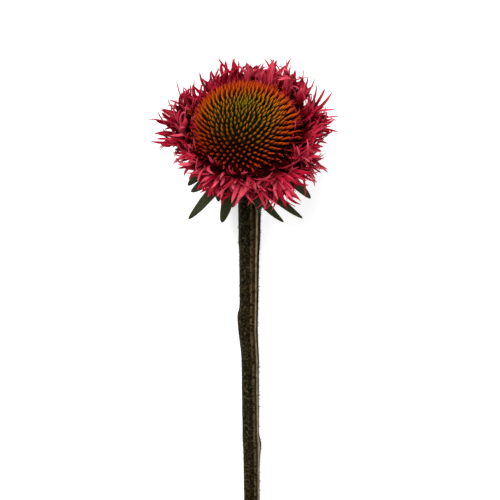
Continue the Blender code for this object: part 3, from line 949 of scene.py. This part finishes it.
def colour_property(name, description, default):
    return bpy.props.FloatVectorProperty(
        name=name, description=description, subtype="COLOR", size=3, min=0, max=1, default=default
    )


def number_property(name, description, default, **more):
    return bpy.props.FloatProperty(name=name, description=description, default=default, **more)


def length_property(name, description, default):
    return number_property(name, description, default, subtype="DISTANCE", unit="LENGTH", min=0)


def count_property(name, description, default):
    return bpy.props.IntProperty(name=name, description=description, default=default, min=0)


class ConeflowerConeSettings(bpy.types.PropertyGroup):
    """Sizes and colours of the spiny cone."""

    spine_count: count_property("Spines", "How many spines cover the cone", 620)
    spine_length: length_property("Spine length", "Length of a full-grown spine", 4.0 * MM)
    spine_radius: length_property("Spine radius", "Radius of a spine at its root", 0.37 * MM)
    young_colour: colour_property("Young tips", "Spine tips at the top of the cone", (0.260, 0.160, 0.003))
    ripe_colour: colour_property("Ripe tips", "Spine tips round the cone", (0.600, 0.165, 0.001))
    rim_colour: colour_property("Rim tips", "Spine tips by the florets", (0.420, 0.035, 0.004))


class ConeflowerRuffSettings(bpy.types.PropertyGroup):
    """Sizes and colours of the florets."""

    deep_colour: colour_property("Throat", "Colour down in a floret", (0.090, 0.0006, 0.0022))
    body_colour: colour_property("Body", "Colour of a floret", (0.400, 0.002, 0.020))
    tip_colour: colour_property("Tips", "Colour of the lobes' tips", (0.560, 0.034, 0.085))
    rim_colour: colour_property("Rim", "Colour of the small florets by the cone", (0.300, 0.018, 0.004))
    salmon_colour: colour_property("Salmon", "Colour of the palest florets", (0.800, 0.105, 0.155))


class ConeflowerBractSettings(bpy.types.PropertyGroup):
    """Sizes and colours of the bracts."""

    thickness: length_property("Thickness", "Thickness of a bract", 0.4 * MM)
    leaf_colour: colour_property("Leaf", "Colour of a bract", (0.019, 0.025, 0.006))
    dry_colour: colour_property("Dry", "Colour where a bract has dried", (0.030, 0.021, 0.008))
    rib_colour: colour_property("Rib", "Colour of ribs and edges", (0.150, 0.155, 0.085))


class ConeflowerStemSettings(bpy.types.PropertyGroup):
    """Sizes and colours of the stem."""

    hair_count: count_property("Hairs", "Short bristles on the stem", 1100)
    hair_length: length_property("Hair length", "Length of a bristle", 0.55 * MM)
    stripe_place: number_property("Stripe", "Where round the stem the straw stripe runs", 0.138)
    dark_colour: colour_property("Dark", "Dark bands of the skin", (0.008, 0.0048, 0.0012))
    olive_colour: colour_property("Olive", "Lighter bands of the skin", (0.022, 0.0165, 0.0042))
    light_olive_colour: colour_property("Light olive", "Flecks and the pale band", (0.086, 0.066, 0.029))
    brown_colour: colour_property("Brown", "The brown band by the stripe", (0.027, 0.010, 0.003))
    straw_colour: colour_property("Straw", "The stripe along the stem", (0.290, 0.235, 0.150))


class ConeflowerStageSettings(bpy.types.PropertyGroup):
    """The camera, the floor and the light."""

    camera_tilt: number_property(
        "Camera tilt", "Tilt of the view from straight down", radians(8), subtype="ANGLE"
    )
    camera_distance: length_property("Camera distance", "From the head to the camera", 0.75)
    frame_width: length_property("Frame width", "Width of the picture at the head", 0.160)
    key_power: number_property("Key light", "Power of the main light", 11.5)
    fill_strength: number_property("Fill light", "Strength of the even light", 0.09)


# The cone and the ruff, and the trees that grow spines and bristles


def tapered_spine(tree, vertices, rings, length, radius, bend):
    """Return the geometry of one pointed spine along Z, with its way stored, bent to +X at the tip."""
    cone = add_node(tree, "GeometryNodeMeshCone", {"fill_type": "NGON"}, {
        "Vertices": vertices, "Side Segments": rings, "Radius Top": SPINE_TIP_RADIUS,
        "Radius Bottom": radius, "Depth": length,
    })
    x, y, z = separate(tree, add_node(tree, "GeometryNodeInputPosition").outputs[0])
    way = calculate(tree, "DIVIDE", z, length)
    bulge = calculate(tree, "SINE", product(tree, calculate(tree, "POWER", way, 1.6), pi))
    swell = calculate(tree, "MULTIPLY_ADD", bulge, SPINE_SWELL, 1.0)
    lean = product(tree, calculate(tree, "POWER", way, 2.0), bend)
    moved = combine(tree, calculate(tree, "MULTIPLY_ADD", x, swell, lean), product(tree, y, swell), z)
    bent = set_position(tree, cone.outputs["Mesh"], moved)
    return store_number(tree, bent, "way", way, "POINT")


def set_position(tree, geometry, position):
    inputs = {"Geometry": geometry, "Position": position}
    return add_node(tree, "GeometryNodeSetPosition", None, inputs).outputs[0]


def store_number(tree, geometry, name, value, domain):
    """Store a number on each point or instance, which the materials read."""
    return add_node(tree, "GeometryNodeStoreNamedAttribute", {"data_type": "FLOAT", "domain": domain}, {
        "Geometry": geometry, "Name": name, "Value": value,
    }).outputs[0]


def random_number(tree, low, high, seed):
    inputs = {2: low, 3: high, "Seed": seed}
    return add_node(tree, "FunctionNodeRandomValue", {"data_type": "FLOAT"}, inputs).outputs[1]


def random_vector(tree, low, high, seed):
    inputs = {"Min": low, "Max": high, "Seed": seed}
    return add_node(tree, "FunctionNodeRandomValue", {"data_type": "FLOAT_VECTOR"}, inputs).outputs[0]


def set_on_points(tree, points, shape, direction, scale):
    """Return a shape set on each point, turned along a direction and scaled."""
    rotation = add_node(tree, "FunctionNodeAlignRotationToVector", {"axis": "Z"}, {"Vector": direction})
    return add_node(tree, "GeometryNodeInstanceOnPoints", None, {
        "Points": points, "Instance": shape, "Rotation": rotation.outputs[0], "Scale": scale,
    }).outputs[0]


def new_geometry_tree(name, inputs):
    """Return a tree, its input node and the identifiers of its named inputs."""
    tree = bpy.data.node_groups.new(name, "GeometryNodeTree")
    tree.interface.new_socket("Geometry", in_out="INPUT", socket_type="NodeSocketGeometry")
    tree.interface.new_socket("Geometry", in_out="OUTPUT", socket_type="NodeSocketGeometry")
    identifiers = {}
    for label, kind in inputs:
        socket = tree.interface.new_socket(label, in_out="INPUT", socket_type=kind)
        identifiers[label] = socket.identifier
    return tree, tree.nodes.new("NodeGroupInput"), identifiers


def end_geometry_tree(tree, instances, material, base=None):
    """End a tree in Realize Instances and Set Material, joined to what it grew on if that is given."""
    real = add_node(tree, "GeometryNodeRealizeInstances", None, {0: instances})
    inputs = {"Geometry": real.outputs[0], "Material": material}
    grown = add_node(tree, "GeometryNodeSetMaterial", None, inputs).outputs[0]
    if base is not None:
        joined = add_node(tree, "GeometryNodeJoinGeometry", None, {0: base})
        tree.links.new(grown, joined.inputs[0])
        grown = joined.outputs[0]
    add_node(tree, "NodeGroupOutput", {"is_active_output": True}, {0: grown})


def run_geometry_tree(piece, tree, identifiers, values):
    """Apply a tree to an object and turn the result into the object's plain mesh."""
    modifier = piece.modifiers.new(tree.name, "NODES")
    modifier.node_group = tree
    for label, value in values.items():
        modifier[identifiers[label]] = value
    evaluated = piece.evaluated_get(bpy.context.evaluated_depsgraph_get())
    mesh = bpy.data.meshes.new_from_object(evaluated)
    mesh.name = piece.name
    piece.modifiers.clear()
    piece.data = mesh
    return mesh


def grow_spines_tree(spine_skin):
    """Build the tree that sets spines on the golden angle over the cone, in the head's own axes."""
    tree, given, identifiers = new_geometry_tree("spines_on_cone", (
        ("Count", "NodeSocketInt"),
        ("Length", "NodeSocketFloat"),
        ("Root radius", "NodeSocketFloat"),
        ("Cone radius", "NodeSocketFloat"),
        ("Cone height", "NodeSocketFloat"),
        ("Cone foot", "NodeSocketFloat"),
    ))
    count = given.outputs["Count"]
    line = add_node(tree, "GeometryNodeMeshLine", {"mode": "OFFSET"}, {"Count": count}).outputs[0]
    index = add_node(tree, "GeometryNodeInputIndex").outputs[0]
    share = calculate(tree, "DIVIDE", calculate(tree, "ADD", index, 0.5), count)
    covered = calculate(tree, "POWER", share, SPINE_CROWDING)
    lowest = 1 - cos(SPINE_LOWEST_ANGLE)
    angle = calculate(tree, "ARCCOSINE", calculate(tree, "MULTIPLY_ADD", covered, -lowest, 1.0))
    rise = calculate(tree, "COSINE", angle)
    spread = calculate(tree, "SINE", angle)
    azimuth = product(tree, index, GOLDEN_ANGLE)
    side = calculate(tree, "COSINE", azimuth)
    front = calculate(tree, "SINE", azimuth)
    radius = product(tree, spread, given.outputs["Cone radius"])
    height = calculate(tree, "MULTIPLY_ADD", rise, given.outputs["Cone height"], given.outputs["Cone foot"])
    spot = combine(tree, product(tree, radius, side), product(tree, radius, front), height)
    lift = between(tree, share, 0.80, 1.0, SPINE_LIFT, SPINE_RIM_LIFT)
    up = calculate(tree, "ADD", rise, lift)
    steady = combine(tree, product(tree, spread, side), product(tree, spread, front), up)
    tilt = random_vector(tree, *SPINE_TILTS, SPINE_TILT_SEED)
    direction = calculate_vector(tree, "ADD", steady, tilt)
    chance = random_number(tree, 0, 1, SPINE_SIZE_SEED)
    uneven = between(tree, chance, 0.0, 1.0, 0.86, 1.12)
    size = product(tree, between(tree, share, 0.0, 0.3, 0.55, 1.0), uneven)
    girth = product(tree, between(tree, share, 0.0, 1.0, 0.76, 1.22), uneven)
    spine = tapered_spine(tree, 6, 6, given.outputs["Length"], given.outputs["Root radius"], SPINE_BEND)
    moved = {"Geometry": spine, "Translation": (0, 0, -SPINE_SUNK)}
    sunk = add_node(tree, "GeometryNodeTransform", None, moved).outputs[0]
    points = set_position(tree, line, spot)
    spines = set_on_points(tree, points, sunk, direction, combine(tree, girth, girth, size))
    spines = store_number(tree, spines, "ripeness", share, "INSTANCE")
    spines = store_number(tree, spines, "shade", chance, "INSTANCE")
    end_geometry_tree(tree, spines, spine_skin, given.outputs["Geometry"])
    return tree, identifiers


class CONEFLOWER_OT_cone(bpy.types.Operator):
    """Grow the domed cone with its spines"""

    bl_idname = "coneflower.cone"
    bl_label = "Spiny Cone"

    def execute(self, context):
        sizes = context.scene.coneflower_cone
        profile = [(CONE_RADIUS - 1.6 * MM, CONE_FOOT)]
        for ring in range(CORE_RINGS):
            angle = radians(88) * (1 - ring / CORE_RINGS)
            profile.append((CONE_RADIUS * sin(angle), CONE_FOOT + CONE_HEIGHT * cos(angle)))
        heap = SheetHeap()
        vertices, faces = turned_shape(profile, CORE_SIDES)
        heap.add_solid([HEAD_PLACE.inverted() @ v for v in vertices], faces, 0.0, 0.5)
        heap.way = [hypot(v.x, v.y) / CONE_RADIUS for v in heap.vertices]
        piece = heap.to_piece("spiny_cone", core_material())
        tree, identifiers = grow_spines_tree(spine_material(sizes))
        mesh = run_geometry_tree(piece, tree, identifiers, {
            "Count": sizes.spine_count,
            "Length": sizes.spine_length,
            "Root radius": sizes.spine_radius,
            "Cone radius": CONE_RADIUS,
            "Cone height": CONE_HEIGHT,
            "Cone foot": CONE_FOOT,
        })
        mesh.transform(HEAD_PLACE)
        face_outward(mesh)
        mesh.shade_smooth()
        finish_piece(piece, ["cone"])
        return {"FINISHED"}


class CONEFLOWER_OT_ruff(bpy.types.Operator):
    """Grow the pink florets in their rows"""

    bl_idname = "coneflower.ruff"
    bl_label = "Ruff of Florets"

    def execute(self, context):
        sizes = context.scene.coneflower_ruff
        skin = floret_material("floret_skin", sizes, 0)
        inner_shaded_skin = floret_material("inner_floret_shaded_skin", sizes, INNER_PAINTED_SHADE)
        heap = SheetHeap()
        profile = (
            (RUFF_FOOT_RADIUS, 0),
            (RUFF_RADIUS - 1.6 * MM, 0.55 * RUFF_HEIGHT),
            (RUFF_RADIUS, 0.8 * RUFF_HEIGHT),
            (RUFF_RADIUS - 0.5 * MM, RUFF_HEIGHT),
        )
        vertices, faces = turned_shape(profile, CORE_SIDES)
        # The core body has way and shade 0, so it takes the near-black painted shade of the throat
        heap.add_solid(vertices, faces, 0.0, 0.0)
        add_floret_rows(heap, FLORET_ROWS, random.Random(FLORET_SEED), 1, 1, FLORET_SCATTER, RESTING_LENGTH)
        add_single_florets(heap, FRONT_FLORETS, FRONT_FLORET_SEED)
        finish_piece(heap.to_piece("ruff_main", skin), ["ruff"])
        inner = SheetHeap()
        add_floret_rows(inner, FILL_ROWS, random.Random(FILL_SEED), FILL_BREADTH, 1, FLORET_SCATTER)
        add_floret_rows(inner, EDGE_ROWS, random.Random(EDGE_SEED), EDGE_BREADTH, RIM_ROOM, EDGE_SCATTER)
        add_single_florets(inner, SIDE_FLORETS, SIDE_FLORET_SEED)
        finish_piece(inner.to_piece("ruff_inner", inner_shaded_skin), [])
        rim = SheetHeap()
        add_floret_rows(rim, RIM_ROWS, random.Random(RIM_SEED), RIM_BREADTH, RIM_ROOM, RIM_SCATTER)
        finish_piece(rim.to_piece("rim_florets", rim_material(sizes)), [])
        return {"FINISHED"}


# Bracts


def bract_sheet(heap, azimuth, length, droop, sweep, width, draw, finer, thickness):
    """Add one narrow pointed bract with a raised rib, curling down from the cup."""
    twist = radians(draw.uniform(-9, 9))
    root = (BRACT_ROOT_RADIUS, BRACT_ROOT_HEIGHT)
    lean = (radians(-BRACT_LEAN), radians(-2 * droop + BRACT_LEAN))
    ripple = finer.uniform(0, 2 * pi)

    def place(way, across, off):
        """Return a point of the bract, below the florets and over the surface."""
        point = curled_point(azimuth, root, lean, length, sweep, twist, way, across, off)
        radius, around, height = in_head(point)
        if radius > DIVIDE_RADIUS:
            height = min(height, divide_height(radius) - DIVIDE_MARGIN)
        point = head_point(radius, around, height)
        point.z = max(point.z, SHEET_LOWEST_MIDDLE)
        return point

    points = []
    ways = []
    uvs = []
    columns = 7
    rows = 14
    for row in range(rows):
        way = 0.97 * row / (rows - 1)
        share = (0.72 + 0.38 * smooth(way / 0.5)) * (1 - way ** 2.6) ** 0.62
        half = width / 2 * share
        for c in range(columns):
            u = 2 * c / (columns - 1) - 1
            keel = BRACT_KEEL * share * (1 - abs(u)) + BRACT_FLUTE * cos(3 * pi * u) * share
            wave = BRACT_RIPPLE * u * u * sin(ripple + 9 * way) * share
            points.append(place(way, half * u, keel + wave))
            ways.append(way)
            uvs.append((c / (columns - 1), way))
    faces = grid_faces(rows, columns)
    tip = len(points)
    points.append(place(1, 0, 0))
    ways.append(1.0)
    uvs.append((0.5, 1.0))
    for c in range(columns - 1):
        a = tip - columns + c
        faces.append((a, a + 1, tip))
    heap.add(points, faces, thickness, ways, uvs, finer.random())


class CONEFLOWER_OT_bracts(bpy.types.Operator):
    """Grow the green cup and its bracts"""

    bl_idname = "coneflower.bracts"
    bl_label = "Bracts"

    def execute(self, context):
        sizes = context.scene.coneflower_bracts
        heap = SheetHeap()
        profile = (
            (CUP_FOOT_RADIUS, -CUP_HEIGHT),
            (0.82 * CUP_RADIUS, -0.85 * CUP_HEIGHT),
            (0.93 * CUP_RADIUS, -0.55 * CUP_HEIGHT),
            (CUP_RADIUS, -JOINT_GAP),
        )
        vertices, faces = turned_shape(profile, CUP_SIDES)
        heap.add_solid(vertices, faces, 0.1, 0.4)
        draw = random.Random(BRACT_SEED)
        finer = random.Random(BRACT_FINE_SEED)

        def add(azimuth, length, droop, sweep=0, width=BRACT_WIDTH, own=draw):
            bract_sheet(heap, azimuth, length, droop, sweep, width, own, finer, sizes.thickness)

        for azimuth, length, droop, sweep in FRONT_BRACTS:
            add(radians(azimuth), length * MM, droop, sweep)
        for azimuth in BACK_BRACT_AZIMUTHS:
            add(radians(azimuth), BACK_BRACT_LENGTH * draw.uniform(0.85, 1.15), BACK_BRACT_DROOP)
        for k in range(INNER_BRACTS):
            azimuth = 2 * pi * (k + 0.5 + finer.uniform(-0.2, 0.2)) / INNER_BRACTS
            length = finer.uniform(*INNER_BRACT_LENGTHS) * MM
            add(azimuth, length, INNER_BRACT_DROOP, 0, INNER_BRACT_WIDTH, finer)
        piece = heap.to_piece("bract_leaves", bract_material(sizes))
        finish_piece(piece, ["bracts"])
        return {"FINISHED"}


# The stem


def stem_centre_line():
    """Return the points of the stem's middle line, from the head to the cut end."""
    step = STEM_LENGTH / STEM_STEPS
    start = CUP_HEIGHT + JOINT_GAP
    y = -start * cos(HEAD_ELEVATION)
    z = -start * sin(HEAD_ELEVATION)
    points = []
    for i in range(STEM_STEPS + 1):
        way = i * step
        points.append(HEAD_FOOT + Vector((stem_drift(way), y, z)))
        bend = smooth((way + step / 2) / STEM_BEND_LENGTH)
        slope = HEAD_ELEVATION + (STEM_SLOPE - HEAD_ELEVATION) * bend
        y -= step * cos(slope)
        z -= step * sin(slope)
    return points


def read_steps(steps, way, shape):
    """Return the value that a list of (distance, value) steps has at a distance, both in mm."""
    for (a, start), (b, end) in zip(steps, steps[1:]):
        if way / MM <= b:
            return (start + (end - start) * shape((way / MM - a) / (b - a))) * MM
    return steps[-1][1] * MM


def stem_drift(way):
    return read_steps(STEM_DRIFTS, way, smooth)


def stem_radius(way):
    return read_steps(STEM_RADII, way, float)


def bump(way, around, shape):
    """Return how far a bump stands out of the stem here."""
    place, angle, height, reach_up, reach_down = shape
    apart = (around - angle + pi) % (2 * pi) - pi
    reach = reach_down if way > place else reach_up
    return height * exp(-((way - place) / reach) ** 2 - (apart / BUMP_REACH_ROUND) ** 2)


def stem_mesh(heap):
    """Add the ridged skin of the stem, with its own UV: round it, and along it."""
    points = stem_centre_line()
    first = len(heap.vertices)
    for i, point in enumerate(points):
        way = STEM_LENGTH * i / STEM_STEPS
        before = points[max(i - 1, 0)]
        after = points[min(i + 1, STEM_STEPS)]
        along = -HEAD_AXIS if i == 0 else (after - before).normalized()
        right = (Vector((1, 0, 0)) - along * along.x).normalized()
        up = along.cross(right)
        for k in range(STEM_SIDES + 1):
            around = 2 * pi * k / STEM_SIDES
            ridge = -STEM_RIDGE_DEPTH / 2 * cos(STEM_RIDGES * around)
            furrow = sin(2 * STEM_RIDGES * around + 1.3 + 0.4 * sin(way / (7 * MM)))
            wrinkle = sin(STEM_WRINKLES * around + way / (2.3 * MM)) * sin(way / (3.1 * MM))
            ridge += STEM_FURROW_DEPTH * furrow + STEM_WRINKLE_DEPTH * wrinkle
            radius = stem_radius(way) + ridge + bump(way, around, LEAF_NODE) + bump(way, around, LEAF_SCAR)
            vertex = point + (right * cos(around) + up * sin(around)) * radius
            vertex.z = max(vertex.z, 0)
            heap.vertices.append(vertex)
            heap.way.append(i / STEM_STEPS)
            heap.shade.append(0.5)
            heap.uv.append((k / STEM_SIDES, way / STEM_UV_STEP))
    heap.faces += grid_faces(STEM_STEPS + 1, STEM_SIDES + 1, first)


def close_stem(mesh):
    """Weld the seam of the stem, close both ends, and sink the pith of the cut end a little."""
    bm = bmesh.new()
    bm.from_mesh(mesh)
    bmesh.ops.remove_doubles(bm, verts=bm.verts, dist=0.01 * MM)
    open_edges = [e for e in bm.edges if e.is_boundary]
    caps = bmesh.ops.holes_fill(bm, edges=open_edges)["faces"]
    for cap in caps:
        cap.material_index = 1
    bm.normal_update()
    bmesh.ops.recalc_face_normals(bm, faces=bm.faces)
    cut = min(caps, key=lambda f: f.calc_center_median().y)
    bmesh.ops.inset_region(bm, faces=[cut], thickness=0.45 * MM, depth=0)
    bmesh.ops.inset_region(bm, faces=[cut], thickness=0.5 * MM, depth=-0.35 * MM)
    cut.material_index = 2
    bmesh.ops.triangulate(bm, faces=[f for f in bm.faces if len(f.verts) > 4])
    bm.to_mesh(mesh)
    bm.free()


def grow_hairs_tree(hair_skin):
    """Build the tree that scatters short bristles over the given skin."""
    tree, given, identifiers = new_geometry_tree("hairs_on_skin", (
        ("Density", "NodeSocketFloat"),
        ("Length", "NodeSocketFloat"),
    ))
    scattered = add_node(tree, "GeometryNodeDistributePointsOnFaces", {"distribute_method": "RANDOM"}, {
        "Mesh": given.outputs["Geometry"], "Density": given.outputs["Density"], "Seed": HAIR_SPREAD_SEED,
    }).outputs
    tilt = random_vector(tree, *HAIR_TILTS, HAIR_TILT_SEED)
    direction = calculate_vector(tree, "ADD", scattered["Normal"], tilt)
    size = random_number(tree, 0.45, 1.25, HAIR_SIZE_SEED)
    hair = tapered_spine(tree, 3, 2, given.outputs["Length"], HAIR_RADIUS, HAIR_BEND)
    hairs = set_on_points(tree, scattered["Points"], hair, direction, combine(tree, size, size, size))
    end_geometry_tree(tree, hairs, hair_skin)
    return tree, identifiers


class CONEFLOWER_OT_stem(bpy.types.Operator):
    """Grow the ridged stem with its cut end and its bristles"""

    bl_idname = "coneflower.stem"
    bl_label = "Stem"

    def execute(self, context):
        sizes = context.scene.coneflower_stem
        heap = SheetHeap()
        stem_mesh(heap)
        piece = heap.to_piece("stem_skin", stem_material(sizes))
        piece.data.materials.append(plain_skin("cut_flesh", CUT_FLESH_COLOUR, 0.8))
        piece.data.materials.append(plain_skin("cut_pith", CUT_PITH_COLOUR, 0.9))
        close_stem(piece.data)
        piece.data.set_sharp_from_angle(angle=radians(40))
        skin_area = sum(face.area for face in piece.data.polygons)
        hairs = bpy.data.objects.new("stem_bristles", piece.data.copy())
        context.scene.collection.objects.link(hairs)
        tree, identifiers = grow_hairs_tree(plain_skin("bristle", BRISTLE_COLOUR, 0.7))
        run_geometry_tree(hairs, tree, identifiers, {
            "Density": sizes.hair_count / skin_area,
            "Length": sizes.hair_length,
        })
        for vertex in hairs.data.vertices:
            vertex.co.z = max(vertex.co.z, 0)
        finish_piece(piece, ["stem"])
        finish_piece(hairs, [])
        return {"FINISHED"}


# The stage


def area_light(name, place, target, size, power):
    """Add a round lamp that shines on a target."""
    light = bpy.data.lights.new(name, "AREA")
    light.shape = "DISK"
    light.size = size
    light.energy = power
    lamp = bpy.data.objects.new(name, light)
    lamp.location = place
    lamp.rotation_euler = (target - Vector(place)).to_track_quat("-Z", "Y").to_euler()
    bpy.context.scene.collection.objects.link(lamp)


class CONEFLOWER_OT_stage(bpy.types.Operator):
    """Set the floor, the light and the camera"""

    bl_idname = "coneflower.stage"
    bl_label = "Stage"

    def execute(self, context):
        settings = context.scene.coneflower_stage
        scene = context.scene
        tilt = settings.camera_tilt
        back = Vector((0, sin(tilt), cos(tilt)))
        up = Vector((0, cos(tilt), -sin(tilt)))
        scale = settings.frame_width / PICTURE_PIXELS
        target = HEAD_FOOT + Vector((1, 0, 0)) * (PICTURE_PIXELS / 2 - FOOT_PIXEL[0]) * scale
        target -= up * (PICTURE_PIXELS / 2 - FOOT_PIXEL[1]) * scale
        camera = bpy.data.cameras.new("camera")
        camera.sensor_width = SENSOR_WIDTH
        camera.lens = SENSOR_WIDTH * settings.camera_distance / settings.frame_width
        camera.clip_start = 0.01
        camera.clip_end = 10
        seen = bpy.data.objects.new("camera", camera)
        seen.rotation_mode = "QUATERNION"
        seen.location = target + back * settings.camera_distance
        right = up.cross(back)
        seen.rotation_quaternion = Matrix((right, up, back)).transposed().to_quaternion()
        scene.collection.objects.link(seen)
        scene.camera = seen
        bpy.ops.mesh.primitive_plane_add(size=FLOOR_SIZE, location=(0, 0, 0))
        floor = context.object
        floor.name = "floor"
        material, _, shader = new_material("pale_floor", 0.9, 0.1)
        shader.inputs["Base Color"].default_value = (FLOOR_GREY, FLOOR_GREY, FLOOR_GREY, 1)
        shader.inputs["Emission Color"].default_value = (1, 1, 1, 1)
        shader.inputs["Emission Strength"].default_value = FLOOR_GLOW
        floor.data.materials.append(material)
        for name, place, size, share in LAMPS:
            area_light(name, place, HEAD_FOOT, size, share * settings.key_power)
        world = bpy.data.worlds.new("even_light")
        world.use_nodes = True
        background = world.node_tree.nodes["Background"]
        background.inputs[0].default_value = (1, 1, 1, 1)
        background.inputs[1].default_value = settings.fill_strength
        scene.world = world
        scene.view_settings.view_transform = "Standard"
        return {"FINISHED"}


class CONEFLOWER_PT_sidebar(bpy.types.Panel):
    """Lists the settings and the operators of the coneflower head"""

    bl_idname = "CONEFLOWER_PT_sidebar"
    bl_label = "Coneflower"
    bl_space_type = "VIEW_3D"
    bl_region_type = "UI"
    bl_category = "Coneflower"

    def draw(self, context):
        for label, settings in (
            ("Cone", context.scene.coneflower_cone),
            ("Ruff", context.scene.coneflower_ruff),
            ("Bracts", context.scene.coneflower_bracts),
            ("Stem", context.scene.coneflower_stem),
            ("Stage", context.scene.coneflower_stage),
        ):
            box = self.layout.box()
            box.label(text=label)
            for name in settings.__annotations__:
                box.prop(settings, name)
        for operator in OPERATORS:
            self.layout.operator(operator.bl_idname)


OPERATORS = (
    CONEFLOWER_OT_cone,
    CONEFLOWER_OT_ruff,
    CONEFLOWER_OT_bracts,
    CONEFLOWER_OT_stem,
    CONEFLOWER_OT_stage,
)
SETTINGS = {
    "coneflower_cone": ConeflowerConeSettings,
    "coneflower_ruff": ConeflowerRuffSettings,
    "coneflower_bracts": ConeflowerBractSettings,
    "coneflower_stem": ConeflowerStemSettings,
    "coneflower_stage": ConeflowerStageSettings,
}


def register():
    for name, group in SETTINGS.items():
        bpy.utils.register_class(group)
        setattr(bpy.types.Scene, name, bpy.props.PointerProperty(type=group))
    for operator in OPERATORS:
        bpy.utils.register_class(operator)
    bpy.utils.register_class(CONEFLOWER_PT_sidebar)


def unregister():
    bpy.utils.unregister_class(CONEFLOWER_PT_sidebar)
    for operator in reversed(OPERATORS):
        bpy.utils.unregister_class(operator)
    for name, group in reversed(SETTINGS.items()):
        delattr(bpy.types.Scene, name)
        bpy.utils.unregister_class(group)


def main():
    register()
    bpy.ops.coneflower.cone()
    bpy.ops.coneflower.ruff()
    bpy.ops.coneflower.bracts()
    bpy.ops.coneflower.stem()
    bpy.ops.coneflower.stage()


if __name__ == "__main__":
    main()
